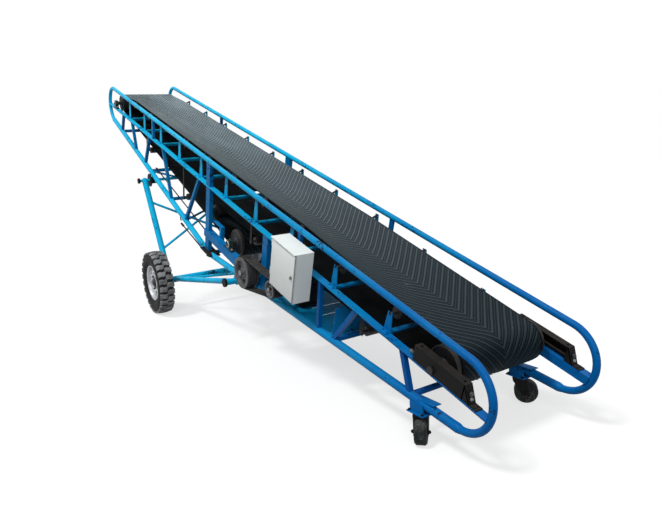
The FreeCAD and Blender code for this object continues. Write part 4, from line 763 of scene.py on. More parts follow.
@dataclass
class Workshop:
    """Holds the materials and hands finished pieces to the machine's bodies."""

    materials: dict[str, Material]

    def dress(self, piece: Piece, name: str, body: str, slot: str, place: Matrix = MACHINE,
              smooth: float = 32.0, finish: str = "") -> Piece:
        """Name a piece, put its place in its mesh, paint it and let it ride on a body.

        Args:
            piece: the finished shape.
            name: its name.
            body: the body that it moves with.
            slot: the record's slot that its finish comes from.
            place: where its own frame lies.
            smooth: the angle in degrees below which faces are shaded as one.
            finish: its own finish, where that differs from the slot's.

        Returns:
            The same piece.
        """
        piece.data.transform(place @ piece.matrix_world)
        piece.matrix_world = Matrix.Identity(4)
        piece.name = piece.data.name = name
        piece.data.materials.clear()
        piece.data.materials.append(self.materials[finish or slot])
        pick(piece)
        bpy.ops.object.shade_smooth_by_angle(angle=math.radians(smooth))
        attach(piece, body)
        LOG.info("%s: %d faces, on %s", name, len(piece.data.polygons), body)
        return piece


# ---------------------------------------------------------------- belts
def right_of(heading: float) -> Vector:
    """Unit vector to the right of a heading in the machine's upright plane."""
    return Vector((math.sin(heading), 0, -math.cos(heading)))


@dataclass(frozen=True)
class Pulley:
    """A belt's line round one drum: way is 1 when it turns left and -1 when it turns right."""

    x: float
    z: float
    radius: float
    way: int = 1

    @property
    def centre(self) -> Vector:
        """Middle of the drum."""
        return Vector((self.x, 0, self.z))

    def heading_to(self, other: "Pulley") -> float:
        """Heading of the straight run from this drum to the next.

        Args:
            other: the next drum.

        Returns:
            The heading, in radians.
        """
        step = other.centre - self.centre
        turn = (other.way * other.radius - self.way * self.radius) / step.length
        return math.atan2(step.z, step.x) - math.asin(turn)

    def run_to(self, other: "Pulley") -> tuple[Vector, Vector, float]:
        """Straight run from this drum to the next.

        Args:
            other: the next drum.

        Returns:
            Where it leaves, where it meets, and its heading.
        """
        heading = self.heading_to(other)
        right = right_of(heading)
        return (self.centre + right * self.way * self.radius, other.centre + right * other.way * other.radius,
                heading)


@dataclass
class HerringboneBelt:
    """Raised herringbone ribs on the outer face of the endless belt."""

    half_width: float = 0.346
    pitch: float = 0.06
    rib: tuple[float, float, float] = (0.0118, 0.0078, 0.0034)
    small_rib: tuple[float, float, float] = (0.0052, 0.0028, 0.0018)
    sink: float = 0.0004
    fold: float = 0.12107
    trough: float = math.radians(25)
    half_thickness: float = 0.0045
    columns: int = 28
    drums: tuple[Pulley, ...] = (Pulley(-6.820, -0.185, 0.1148), Pulley(-2.788, -0.670, 0.1348),
                                 Pulley(-3.339, -0.549, 0.0708, -1), Pulley(0.115, -0.225, 0.1328))
    trough_ends: tuple[Pulley, Pulley] = (Pulley(-1.670, -0.1307, 0.0), Pulley(-6.220, -0.1307, 0.0))

    def section(self, centre: Vector, normal: Vector, angle: float, across: float, rise: float) -> Vector:
        """Point of one section of the top run.

        Args:
            centre: the section's middle.
            normal: the way out of the belt there.
            angle: how far its wings are raised.
            across: distance from the belt's middle line along its width.
            rise: distance out of the belt's middle layer.

        Returns:
            The point.
        """
        side = math.copysign(1, across)
        wing = abs(across) - self.fold
        if wing <= 0:
            inner = self.fold - rise * math.tan(angle / 2)
            return centre + sideways(across * inner / self.fold) + normal * rise
        reach = self.fold + wing * math.cos(angle) - rise * math.sin(angle)
        return centre + sideways(side * reach) + normal * (wing * math.sin(angle) + rise * math.cos(angle))

    def stretches(self) -> list[tuple[float, Callable[[float, float, float], Vector]]]:
        """Stretches of the belt in the way that it travels.

        Returns:
            For each its length and what turns a share of it, a place across and a rise into a point.
        """
        tail, head, up = self.drums[-1], self.drums[0], Vector((0, 0, 1))
        near, far = self.trough_ends
        start, _, first_heading = tail.run_to(near)
        _, finish, last_heading = far.run_to(head)
        ends = ((start, right_of(first_heading), 0.0), (near.centre, up, self.trough),
                (far.centre, up, self.trough), (finish, right_of(last_heading), 0.0))
        found = []
        for first, second in zip(ends, ends[1:]):
            found.append(((second[0] - first[0]).length,
                          lambda share, across, rise, a=first, b=second:
                          self.section(*a, across, rise).lerp(self.section(*b, across, rise), share)))
        incoming = last_heading
        for index, drum in enumerate(self.drums):
            following = self.drums[index + 1] if index + 1 < len(self.drums) else near
            leave, meet, outgoing = drum.run_to(following)
            sweep = (outgoing - incoming) * drum.way % (2 * math.pi) * drum.way
            found.append((abs(sweep) * drum.radius,
                          lambda share, across, rise, d=drum, h=incoming, s=sweep:
                          d.centre + right_of(h + s * share) * (d.way * d.radius + rise) + sideways(across)))
            if following is not near:
                found.append(((meet - leave).length,
                              lambda share, across, rise, a=leave, b=meet, h=outgoing:
                              a.lerp(b, share) + right_of(h) * rise + sideways(across)))
            incoming = outgoing
        return found

    def place(self, stretches: Sequence[tuple[float, Callable]], whole: float, travel: float, across: float,
              rise: float) -> Vector:
        """Point on or above the belt.

        Args:
            stretches: the belt's stretches.
            whole: its length.
            travel: distance along it.
            across: distance from its middle line.
            rise: distance out of its middle layer.

        Returns:
            The point.
        """
        travel %= whole
        for length, locate in stretches:
            if travel <= length:
                return locate(travel / length, across, rise)
            travel -= length
        return stretches[-1][1](1.0, across, rise)

    def template(self, base: float, top: float, rise: float) -> Piece:
        """Build one straight rib in the belt's own measure: across, along and out.

        Args:
            base: half its width at the belt.
            top: half its width at its top.
            rise: how far it stands out.

        Returns:
            The rib.
        """
        step = 2 * self.half_width / self.columns
        low, high = self.half_thickness - self.sink, self.half_thickness + rise
        rows = []
        for offset, out in ((-base, low), (-top, high), (top, high), (base, low), (-base, low)):
            row = [Vector((-self.half_width + step * column, offset, out))
                   for column in range(self.columns + 1)]
            row[0], row[-1] = Vector((row[0].x, 0, low)), Vector((row[-1].x, 0, low))
            rows.append(row)
        rib = draped(rows)
        close_up(rib)
        return rib

    def build(self, shop: Workshop) -> None:
        """Build and dress the ribs.

        Args:
            shop: the workshop.
        """
        stretches = self.stretches()
        whole = sum(length for length, _ in stretches)
        count = round(whole / self.pitch)
        for name, sizes, start in (("belt_ribs", self.rib, 0.0), ("belt_small_ribs", self.small_rib, 0.5)):
            ribs = stamped(self.template(*sizes), (shift(0, (index + start) * whole / count, 0.0)
                                                   for index in range(count)))
            for vertex in ribs.data.vertices:
                across, travel, rise = vertex.co
                vertex.co = self.place(stretches, whole, travel + abs(across), across, rise)
            shop.dress(ribs, name, FRAME, "belt_rubber",
                       finish="belt_ribs" if start == 0 else "belt_fine_ribs")
        LOG.info("belt: %d ribs of each size over %.2f m", count, whole)


@dataclass
class VeeDrive:
    """Grooved pulleys and the V-belts that join them."""

    middle: float = -0.545
    half_width: float = 0.055
    groove_pitch: float = 0.0215
    grooves: int = 4
    groove_top: float = 0.0088
    groove_depth: float = 0.015
    large: Pulley = Pulley(-2.203, -0.682, 0.143)
    small: Pulley = Pulley(-1.670, -0.579, 0.074)
    window: Pair = (0.027, 0.0175)
    bores: Pair = (0.025, 0.019)

    def centres(self) -> list[float]:
        """Places of the grooves from the pulleys' mid plane."""
        return [(index - (self.grooves - 1) / 2) * self.groove_pitch for index in range(self.grooves)]

    def rim(self, radius: float) -> list[Pair]:
        """Grooved outline of a rim, from its outer face to its inner one.

        Args:
            radius: the pulley's radius.

        Returns:
            Its (radius, height) points.
        """
        points = [(radius - 0.002, -self.half_width), (radius, -self.half_width + 0.002)]
        for centre in self.centres():
            points += [(radius, centre - self.groove_top),
                       (radius - self.groove_depth, centre - self.groove_top * 0.5),
                       (radius - self.groove_depth, centre + self.groove_top * 0.5),
                       (radius, centre + self.groove_top)]
        return points + [(radius, self.half_width - 0.002), (radius - 0.002, self.half_width)]

    def pulley(self, drum: Pulley, bore: float, windows: int) -> Piece:
        """Build one pulley.

        Args:
            drum: where it is and its radius.
            bore: its bore's radius.
            windows: how many oval holes its web has.

        Returns:
            The pulley, in the machine's frame.
        """
        wall, hub = drum.radius * 0.78, bore * 1.75
        profile = [(bore, -0.040), (hub - 0.002, -0.040), (hub, -0.038), (hub + 0.004, -0.030),
                   (wall - 0.008, -0.030), (wall, -0.052),
                   (wall + 0.002, -self.half_width)] + self.rim(drum.radius)
        profile += [(wall + 0.002, self.half_width), (wall - 0.008, -0.014), (hub + 0.004, -0.014),
                    (hub, self.half_width), (bore, self.half_width)]
        wheel = turned(profile, 64)
        if windows:
            reach = (wall + hub) / 2
            holes = stamped(oval_cutter(self.window, reach, 20, 0.06),
                            (shift(0, -0.022, 0) @ round_y(angle) for angle in around(windows, 0.35)))
            carve(wheel, holes)
            bevelled(wheel, 0.0012, 1)
        wheel.data.transform(shift(drum.x, self.middle, drum.z))
        return wheel

    def build(self, shop: Workshop) -> None:
        """Build and dress the pulleys and the V-belts.

        Args:
            shop: the workshop.
        """
        for drum, bore, windows, name in ((self.large, self.bores[0], 3, "drive_pulley"),
                                          (self.small, self.bores[1], 0, "motor_pulley")):
            wheel = self.pulley(drum, bore, windows)
            shop.dress(wheel, f"{name}_turned", FRAME, "cast_iron")
            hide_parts(name)
        path, both = [], (self.large, self.small)
        for drum, following in zip(both, both[::-1]):
            before, after = following.heading_to(drum), drum.heading_to(following)
            sweep = (after - before) % (2 * math.pi)
            steps = 26
            for step in range(steps + 1):
                out = right_of(before + sweep * step / steps)
                path.append((drum.centre + out * (drum.radius - 0.003), out))
            start, end, _ = drum.run_to(following)
            path += [(start.lerp(end, share) + path[-1][1] * -0.003, path[-1][1])
                     for share in (0.25, 0.5, 0.75)]
        section = ((0.010, -0.0085), (0.0108, 0), (0.010, 0.0085), (-0.003, 0.0055), (-0.003, -0.0055))
        belt = looped(path, section)
        belts = stamped(belt, (shift(0, self.middle + centre, 0) for centre in self.centres()))
        shop.dress(belts, "vee_belt_set", FRAME, "vee_rubber")
        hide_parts("vee_belts")
        for drum, bore, end in ((self.large, self.bores[0], "drive"), (self.small, self.bores[1], "motor")):
            collar = turned(((0, -0.006), (bore * 0.72, -0.006), (bore * 0.84, -0.004), (bore * 0.84, 0.002),
                             (0, 0.002)), 24)
            collar.data.transform(shift(drum.x, self.middle - self.half_width - 0.002, drum.z))
            shop.dress(collar, f"shaft_end_{end}", FRAME, "shaft_steel")


def carve(piece: Piece, tool: Piece) -> None:
    """Cut one piece out of another and take the cutter away.

    Args:
        piece: what is cut.
        tool: what cuts it.
    """
    pick(piece)
    cut = piece.modifiers.new("cut", "BOOLEAN")
    cut.object, cut.operation, cut.solver = tool, "DIFFERENCE", "EXACT"
    bpy.ops.object.modifier_apply(modifier=cut.name)
    bpy.data.objects.remove(tool)


# ---------------------------------------------------------------- undercarriage
@dataclass
class RoadWheel:
    """Road wheel: tyre with its tread blocks, slotted rim, hub and nuts."""

    label: str
    side: int
    axle: Pair = (-4.240, -1.773)
    offset: float = 0.706
    blocks: int = 26
    slots: int = 8
    slot_reach: float = 0.124
    nuts: int = 5

    def at(self, piece: Piece) -> Piece:
        """Move a piece from the wheel's own frame to its place on the axle."""
        piece.data.transform(facing_out(self.side))
        return moved(piece, self.axle[0], self.side * self.offset, self.axle[1])

    def tyre(self) -> tuple[Piece, Piece]:
        """Build the tyre and its tread blocks.

        Returns:
            The tyre and its blocks in the wheel's own frame.
        """
        half = ((0.200, 0.054), (0.214, 0.060), (0.224, 0.070), (0.232, 0.073), (0.252, 0.080),
                (0.262, 0.0865), (0.285, 0.0880), (0.310, 0.0885), (0.318, 0.0860), (0.336, 0.0840),
                (0.350, 0.0780), (0.3580, 0.0640), (0.3630, 0.0350), (0.3650, 0.0060))
        profile = [(radius, -height) for radius, height in half] + list(half[::-1])
        carcass = turned(profile, 72)
        outline = ((-0.030, 0.006), (-0.010, -0.004), (0.026, 0.004), (0.034, 0.030), (0.026, 0.048),
                   (0.036, 0.086), (-0.022, 0.086), (-0.032, 0.056), (-0.022, 0.034))
        block = cut_plate(outline, 0.028, 0.0026)
        for vertex in block.data.vertices:
            if vertex.co.y > 0:
                vertex.co.y -= 0.010 * (vertex.co.z / 0.086) ** 2
        block.data.transform(shift(0, 0.3645, 0))
        places = []
        for row, across in enumerate((1, -1)):
            for angle in around(self.blocks, 0.5 * row):
                out, over = Vector((math.cos(angle), 0, math.sin(angle))), sideways(across)
                ahead = out.cross(over)
                places.append(Matrix((ahead, out, over)).transposed().to_4x4())
        return carcass, stamped(block, places)

    def rim(self) -> Piece:
        """Build the slotted rim.

        Returns:
            The rim in the wheel's own frame, its dish outwards.
        """
        edge = ((0.197, 0.054), (0.200, 0.061), (0.211, 0.063), (0.213, 0.067), (0.211, 0.0700),
                (0.196, 0.069), (0.188, 0.058), (0.184, 0.030))
        inner = [(radius, -height) for radius, height in edge[::-1]]
        barrel = turned(list(edge) + inner + [(0.190, -0.030), (0.190, 0.030)], 64)
        dish = turned(((0.048, 0.034), (0.078, 0.040), (0.100, 0.052), (0.128, 0.053), (0.158, 0.040),
                       (0.187, 0.030), (0.187, 0.023), (0.158, 0.033), (0.128, 0.046), (0.100, 0.045),
                       (0.078, 0.033), (0.048, 0.027)), 64)
        slot = oval_cutter((0.030, 0.0135), self.slot_reach, 18, 0.1)
        carve(dish, stamped(slot, (shift(0, 0.02, 0) @ round_y(angle) for angle in around(self.slots))))
        bevelled(dish, 0.0015, 1)
        return joined([barrel, dish])

    def hub(self) -> Piece:
        """Build the hub with its cap and nuts.

        Returns:
            The hub in the wheel's own frame.
        """
        barrel = turned(((0.0255, -0.058), (0.046, -0.058), (0.050, -0.054), (0.050, 0.012), (0.096, 0.014),
                         (0.098, 0.018), (0.094, 0.022), (0.052, 0.024), (0.050, 0.050), (0.044, 0.057),
                         (0.0255, 0.058)), 40)
        cap = turned(((0, 0.047), (0.034, 0.047), (0.034, 0.060), (0.030, 0.066), (0.012, 0.070), (0, 0.070)),
                     32)
        places = [round_y(angle) @ facing((0.074, 0.039, 0), (0, 1, 0)) for angle in around(self.nuts, 0.3)]
        return joined([barrel, cap, bolts(places, 0.016)])

    def build(self, shop: Workshop) -> None:
        """Build and dress the wheel.

        Args:
            shop: the workshop.
        """
        body = f"{self.label}_road_wheel"
        carcass, blocks = self.tyre()
        tyre = shop.dress(self.at(carcass), f"{self.label}_tyre_carcass", body, "tyre", smooth=28)
        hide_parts(f"{self.label}_tyre")
        # The blocks take the lighter finish, a painted highlight.
        shop.dress(self.at(blocks), f"{self.label}_highlit_tyre_blocks", body, "tyre", smooth=28,
                   finish="highlit_tyre_blocks")
        rim = shop.dress(self.at(self.rim()), f"{self.label}_slotted_rim", body, "rim_paint")
        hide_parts(f"{self.label}_wheel")
        shop.dress(self.at(self.hub()), f"{self.label}_hub", body, "rim_paint", finish="hub_iron")


@dataclass
class Chords:
    """Knee plates, the hook and the wire ropes along the lower chords."""

    knee: Pair = (-3.300, -1.000)
    half_span: float = 0.450
    rope_radius: float = 0.0072

    def height(self, x: float) -> float:
        """Height of the lower chords' axis at a place along them."""
        slope = 0.147344 if x > self.knee[0] else -0.147910
        return self.knee[1] + (x - self.knee[0]) * slope

    def build(self, shop: Workshop) -> None:
        """Build and dress the plates, the hook and the ropes.

        Args:
            shop: the workshop.
        """
        x, z = self.knee
        sides = both_sides(self.half_span)
        plate = moved(bar((0.250, 0.128, 0.014), 0.003), x + 0.035, 0, z + 0.035)
        screws = [side @ shift(x + 0.035 + along, across, z + 0.040) for side in sides
                  for along in (-0.098, 0.098) for across in (-0.042, 0.042)]
        shop.dress(stamped(plate, sides), "knee_plates", FRAME, "black_paint")
        shop.dress(bolts(screws, 0.012), "knee_bolts", FRAME, "black_paint")
        for name, first, last in (("frame_rope", (-5.262, -0.380, -0.676), (-3.318, -0.396, -0.866)),
                                  ("near_rope", (-4.146, -0.450, -0.992), (-3.300, -0.450, -1.042))):
            start, end = Vector(first), Vector(last)
            shop.dress(wire([start.lerp(end, step / 8) for step in range(9)], self.rope_radius), name,
                       FRAME, "vee_rubber", finish="wire_rope")
            way = (end - start).normalized()
            clamp = turned(((0.0055, -0.010), (0.012, -0.010), (0.0135, -0.006), (0.0135, 0.006),
                            (0.012, 0.010), (0.0055, 0.010)), 16, Turn.UP)
            places = [facing(point, way)
                      for point in (start + way * 0.03, start + way * 0.07, end - way * 0.03)]
            shop.dress(stamped(clamp, places), f"{name}_clamps", FRAME, "black_paint")
        place = -4.150
        base = self.height(place) - 0.030
        hook = wire([Vector((place + 0.020 * math.cos(turn), -self.half_span,
                             base - 0.030 + 0.024 * math.sin(turn)))
                     for turn in (math.radians(90 + 22 * step) for step in range(12))], 0.0055)
        shop.dress(hook, "rope_hook", FRAME, "black_paint")

    def build_reducers(self, shop: Workshop) -> None:
        """Build and dress the cones where the chords narrow into the end bends.

        Args:
            shop: the workshop.
        """
        places = []
        for x, way in ((0.3815, 1), (-6.9676, -1)):
            slope = self.height(x) - self.height(x - way * 0.1)
            for side in (-1, 1):
                places.append(facing((x, side * self.half_span, self.height(x)), (way * 0.1, 0, slope)))
        cone = turned(((0.0, -0.030), (0.0302, -0.030), (0.0306, -0.012), (0.0306, 0.0), (0.0252, 0.026),
                       (0.0238, 0.030), (0.0, 0.030)), 32, Turn.UP)
        shop.dress(stamped(cone, places), "chord_reducers", FRAME, "blue_paint")


@dataclass
class CasterTrim:
    """Axle nuts and bracket bolts of one caster."""

    label: str
    side: int
    yaw: float
    centre: Pair = (3.106922, 0.450)
    trail: float = 0.042
    radius: float = 0.080
    face: float = 0.0345
    nut_y: float = 0.0468
    bolt_spread: Pair = (0.060, 0.043)
    bolt_level: float = 0.198
    flange: Triple = (3.145, 0.440, 0.277)

    def build(self, shop: Workshop) -> None:
        """Build and dress the caster's small parts.

        Args:
            shop: the workshop.
        """
        x, y = self.centre[0], self.side * self.centre[1]
        own = shift(x, y, 0) @ Matrix.Rotation(math.radians(self.yaw), 4, "Z")
        nuts = bolts([facing((self.trail, sign * self.nut_y, self.radius), (0, sign, 0)) for sign in (-1, 1)],
                     0.013)
        shop.dress(nuts, f"{self.label}_caster_nuts", f"{self.label}_caster_fork", "black_paint", own)
        race = turned(((0.012, 0.1666), (0.040, 0.1666), (0.043, 0.164), (0.043, 0.150), (0.036, 0.146),
                       (0.012, 0.146)), 28, Turn.UP)
        shop.dress(race, f"{self.label}_swivel_race", f"{self.label}_caster_fork", "black_paint", own)
        wide, deep = self.bolt_spread
        corners = [facing((x + dx * wide, y + dy * deep, self.bolt_level), (0, 0, 1))
                   for dx in (-1, 1) for dy in (-1, 1)]
        shop.dress(bolts(corners, 0.010), f"{self.label}_bracket_bolts", FRAME, "black_paint",
                   Matrix.Identity(4))
        flange = moved(bar((0.210, 0.062, 0.006), 0.0022), self.flange[0], self.side * self.flange[1],
                       self.flange[2])
        shop.dress(flange, f"{self.label}_bracket_flange", FRAME, "blue_paint", Matrix.Identity(4))
        disc = turned(((0, 0.0), (0.046, 0.0), (0.050, 0.0015), (0.052, 0.0045), (0.056, 0.0015),
                       (0.058, 0.0), (0.058, -0.003), (0, -0.003)), 32)
        faces = stamped(disc, (shift(self.trail, sign * self.face, self.radius) @ facing_out(sign)
                               for sign in (-1, 1)))
        shop.dress(faces, f"{self.label}_caster_faces", f"{self.label}_caster_wheel", "caster_rubber", own)


# ---------------------------------------------------------------- drives and fittings
@dataclass
class FinnedMotor:
    """Totally enclosed motor: finned body, fan cowl, feet and terminal box."""

    x: float = -1.670
    z: float = -0.579
    first: float = -0.400
    last: float = -0.070
    cowl: float = -0.010
    radius: float = 0.100
    lean: float = math.radians(-8.382)
    fins: int = 44

    def build(self, shop: Workshop) -> None:
        """Build and dress the motor.

        Args:
            shop: the workshop.
        """
        own = shift(self.x, 0, self.z) @ round_y(self.lean)
        length, middle = self.last - self.first, (self.last + self.first) / 2
        barrel = turned(((0.019, self.first - 0.012), (0.045, self.first - 0.012), (0.060, self.first),
                         (0.098, self.first), (0.100, self.first + 0.003), (0.100, self.first + 0.022),
                         (0.097, self.first + 0.026), (0.087, self.first + 0.028), (0.087, self.last - 0.028),
                         (0.097, self.last - 0.026), (0.100, self.last - 0.022), (0.100, self.last),
                         (0.019, self.last)), 56)
        fin = moved(bar((0.0026, length - 0.05, 0.014), 0.0008, 1.0), 0, middle, 0.0925)
        fins = stamped(fin, (round_y(angle) for angle in around(self.fins)))
        cowl = turned(((0.102, self.last - 0.012), (0.104, self.last - 0.010), (0.104, self.cowl - 0.018),
                       (0.096, self.cowl - 0.004), (0.086, self.cowl), (0.030, self.cowl),
                       (0.026, self.cowl - 0.003), (0.026, self.cowl - 0.006), (0.084, self.cowl - 0.006),
                       (0.100, self.cowl - 0.020), (0.100, self.last - 0.012)), 56)
        grille = turned(((0.0, self.cowl - 0.004), (0.028, self.cowl - 0.004), (0.028, self.cowl - 0.007),
                         (0, self.cowl - 0.007)), 24)
        base = moved(bar((0.200, 0.200, 0.016), 0.003), 0, middle, -0.181)
        legs = stamped(bar((0.026, 0.170, 0.110), 0.004, 0.9),
                       (shift(across, middle, -0.125) for across in (-0.062, 0.062)))
        body = shop.dress(joined([barrel, fins, cowl, grille, base, legs]), "motor_finned", FRAME,
                          "motor_paint", MACHINE @ own)
        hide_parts("motor")
        box = bar((0.110, 0.110, 0.046), 0.006, 0.92)
        lid = moved(bar((0.112, 0.112, 0.008), 0.003), 0, 0, 0.026)
        gland = turned(((0, 0.05), (0.012, 0.05), (0.014, 0.058), (0.014, 0.070), (0.008, 0.074), (0, 0.074)),
                       6, Turn.UP)
        gland.data.transform(Matrix.Rotation(math.pi / 2, 4, "X"))
        screws = bolts([shift(dx * 0.046, dy * 0.046, 0.030) for dx in (-1, 1) for dy in (-1, 1)], 0.006)
        terminal = joined([box, lid, gland, screws])
        terminal.data.transform(Matrix.Rotation(math.pi / 2, 4, "Y"))
        shop.dress(terminal, "terminal_box", FRAME, "motor_paint", MACHINE @ own @ shift(0.111, middle, 0))
        shaft = turned(((0, 0.0), (0.0185, 0.0), (0.0185, 0.140), (0.0175, 0.142), (0, 0.142)), 24)
        shop.dress(shaft, "motor_shaft", FRAME, "shaft_steel",
                   MACHINE @ own @ shift(0, self.first - 0.140, 0))


@dataclass
class SwitchCabinet:
    """Door skin, seal, lock, roof edge and glands of the switch cabinet."""

    x: float = -1.615
    length: float = 0.378
    top: float = -0.068
    height: float = 0.412
    front: float = -0.631
    back: float = -0.480
    glands: int = 3
    gland_start: float = 0.10
    gland_pitch: float = 0.08

    def build(self, shop: Workshop) -> None:
        """Build and dress the cabinet's finer parts.

        Args:
            shop: the workshop.
        """
        middle_x, middle_z = self.x + self.length / 2, self.top - self.height / 2
        skin = moved(bar((self.length - 0.016, 0.006, self.height - 0.024), 0.0028), middle_x,
                     self.front - 0.002, middle_z - 0.003)
        fold = moved(bar((0.010, 0.012, self.height - 0.030), 0.0045), self.x + self.length - 0.013,
                     self.front - 0.004, middle_z - 0.003)
        shop.dress(joined([skin, fold]), "cabinet_door_skin", "box_door", "cabinet_paint")
        seal = moved(bar((self.length - 0.006, 0.003, self.height - 0.012), 0.001), middle_x,
                     self.front - 0.0002, middle_z - 0.001)
        shop.dress(seal, "cabinet_door_seal", "box_door", "vee_rubber")
        # A dark strip just under the roof edge stands in for the shadow beneath the roof lip: painted shadow.
        roof_shadow_strip = moved(bar((self.length - 0.014, 0.006, 0.0065), 0.001), middle_x, self.front - 0.003,
                      self.top - 0.0115)
        shop.dress(roof_shadow_strip, "cabinet_roof_shadow_strip", "box_door", "vee_rubber")
        lock = turned(((0, -0.010), (0.010, -0.010), (0.012, -0.008), (0.012, 0.0), (0.017, 0.001),
                       (0.018, 0.004), (0, 0.004)), 28)
        slot = moved(bar((0.003, 0.004, 0.014), 0.001), 0, -0.0105, 0)
        turnkey = joined([lock, slot])
        turnkey.data.transform(shift(self.x + self.length - 0.045, self.front - 0.007, middle_z))
        shop.dress(turnkey, "cabinet_lock", "box_door", "shaft_steel")
        edge = wire([Vector((self.x, self.front - 0.0125, self.top - 0.006)),
                     Vector((self.x + self.length, self.front - 0.0125, self.top - 0.006))], 0.0022)
        shop.dress(edge, "cabinet_roof_edge", FRAME, "cabinet_paint")
        gland = turned(((0, 0.0), (0.017, 0.0), (0.017, -0.007), (0.013, -0.009), (0.013, -0.022),
                        (0.008, -0.027), (0, -0.027)), 18, Turn.UP)
        places = [shift(self.x + self.gland_start + self.gland_pitch * index, (self.front + self.back) / 2,
                        self.top - self.height) for index in range(self.glands)]
        shop.dress(stamped(gland, places), "cabinet_glands", FRAME, "vee_rubber")


@dataclass
class IdlerTrim:
    """Bolts and spindle ends on the idler brackets."""

    first: float = -0.370
    pitch: float = 0.650
    count: int = 10
    foot_level: float = -0.246
    bolt_y: float = 0.447
    spindle_y: float = 0.4275
    roller_level: float = -0.180
    reach: float = 0.291
    slope: float = 25
    first_troughs: tuple[Pair, ...] = ((0.028, 6), (0.014, 14))

    def build(self, shop: Workshop) -> None:
        """Build and dress the bolts and spindle ends.

        Args:
            shop: the workshop.
        """
        heights = [self.roller_level + lift + self.reach * math.tan(math.radians(slope))
                   for lift, slope in self.first_troughs]
        usual = self.roller_level + self.reach * math.tan(math.radians(self.slope))
        feet, screws, ends = [], [], []
        for index in range(self.count):
            x = self.first - self.pitch * index
            for side in (-1, 1):
                feet.append(shift(x, side * 0.448, -0.249))
                screws += [shift(x + along, side * self.bolt_y, self.foot_level) for along in (-0.022, 0.022)]
                ends.append(facing((x, side * self.spindle_y,
                                    heights[index] if index < len(heights) else usual), (0, side, 0)))
        foot = bar((0.070, 0.046, 0.006), 0.0016)
        shop.dress(stamped(foot, feet), "idler_feet", FRAME, "blue_paint")
        shop.dress(bolts(screws, 0.010), "idler_bolts", FRAME, "blue_paint")
        tip = turned(((0, 0), (0.0075, 0), (0.0075, 0.0015), (0.0065, 0.0025), (0, 0.0025)), 14, Turn.UP)
        shop.dress(stamped(tip, ends), "spindle_tips", FRAME, "black_paint")


@dataclass
class BearingTrim:
    """Foot bolts, covers and grease nipples of the shaft bearings."""

    seats: tuple[Pair, ...] = ((-6.820, -0.185), (-2.788, -0.670), (-2.203, -0.682))
    span: float = 0.450
    half_width: float = 0.021
    foot: float = 0.054
    drop: float = 0.046

    def build(self, shop: Workshop) -> None:
        """Build and dress the bearings' finer parts.

        Args:
            shop: the workshop.
        """
        screws, covers, nipples = [], [], []
        for x, z in self.seats:
            for side in (-1, 1):
                screws += [shift(x + along, side * self.span, z - self.drop)
                           for along in (-self.foot, self.foot)]
                covers.append(facing((x, side * (self.span + self.half_width), z), (0, side, 0)))
                nipples.append(shift(x, side * self.span, z + 0.045))
        shop.dress(bolts(screws, 0.013), "bearing_bolts", FRAME, "shaft_steel")
        ring = turned(((0.0255, -0.001), (0.037, -0.001), (0.038, 0.002), (0.033, 0.0035), (0.031, 0.0075),
                       (0.0255, 0.008)), 32, Turn.UP)
        shop.dress(stamped(ring, covers), "bearing_inserts", FRAME, "shaft_steel")
        nipple = turned(((0, 0), (0.004, 0), (0.004, 0.005), (0.0025, 0.006), (0.0035, 0.010), (0, 0.011)),
                        10, Turn.UP)
        shop.dress(stamped(nipple, nipples), "grease_nipples", FRAME, "shaft_steel")


@dataclass
class SnubSeat:
    """Feet of the snub roller's bearings, and the bars and posts that carry them beside the columns."""

    x: float = -3.339
    foot_level: float = -0.611
    span: float = 0.408
    post: Pair = (-3.072, -0.712)
    rest_x: float = -3.263
    bolt_reach: float = 0.062

    def build(self, shop: Workshop) -> None:
        """Build and dress the seats.

        Args:
            shop: the workshop.
        """
        sides = both_sides(self.span)
        foot = moved(bar((0.150, 0.040, 0.060), 0.004, 0.72), self.x, 0, self.foot_level + 0.030)
        rest = moved(bar((0.430, 0.042, 0.014), 0.002), self.rest_x, 0, self.foot_level - 0.007)
        post = moved(bar((0.044, 0.042, 0.172), 0.003), self.post[0], 0, self.post[1])
        screws = [side @ shift(self.x + along, 0, self.foot_level + 0.012) for side in sides
                  for along in (-self.bolt_reach, self.bolt_reach)]
        shop.dress(stamped(foot, sides), "snub_feet", FRAME, "bearing_paint")
        # The seat bars and posts take the darker blue copy: painted shade.
        shop.dress(stamped(joined([rest, post]), sides), "snub_seats", FRAME, "blue_paint",
                   finish="shaded_blue_paint")
        shop.dress(bolts(screws, 0.010), "snub_bolts", FRAME, "shaft_steel")


@dataclass
class DrumEnds:
    """Rims and bosses on the end faces of the drums."""

    drums: tuple[tuple[float, float, float], ...] = ((-6.820, -0.185, 0.110), (-2.788, -0.670, 0.130),
                                                     (0.115, -0.225, 0.128))
    face: float = 0.375

    def build(self, shop: Workshop) -> None:
        """Build and dress the drum ends.

        Args:
            shop: the workshop.
        """
        ends = []
        for x, z, radius in self.drums:
            rim = turned(((radius - 0.011, -0.002), (radius - 0.0015, -0.002), (radius - 0.0015, 0.0045),
                          (radius - 0.003, 0.006), (radius - 0.0095, 0.006), (radius - 0.011, 0.0045)), 64)
            boss = turned(((0.0255, -0.002), (0.050, -0.002), (0.050, 0.008), (0.047, 0.011),
                           (0.0255, 0.011)), 32)
            places = [shift(x, side * self.face, z) @ facing_out(side) for side in (-1, 1)]
            ends.append(stamped(joined([rim, boss]), places))
        shop.dress(joined(ends), "drum_end_rims", FRAME, "roller_steel", finish="hub_iron")


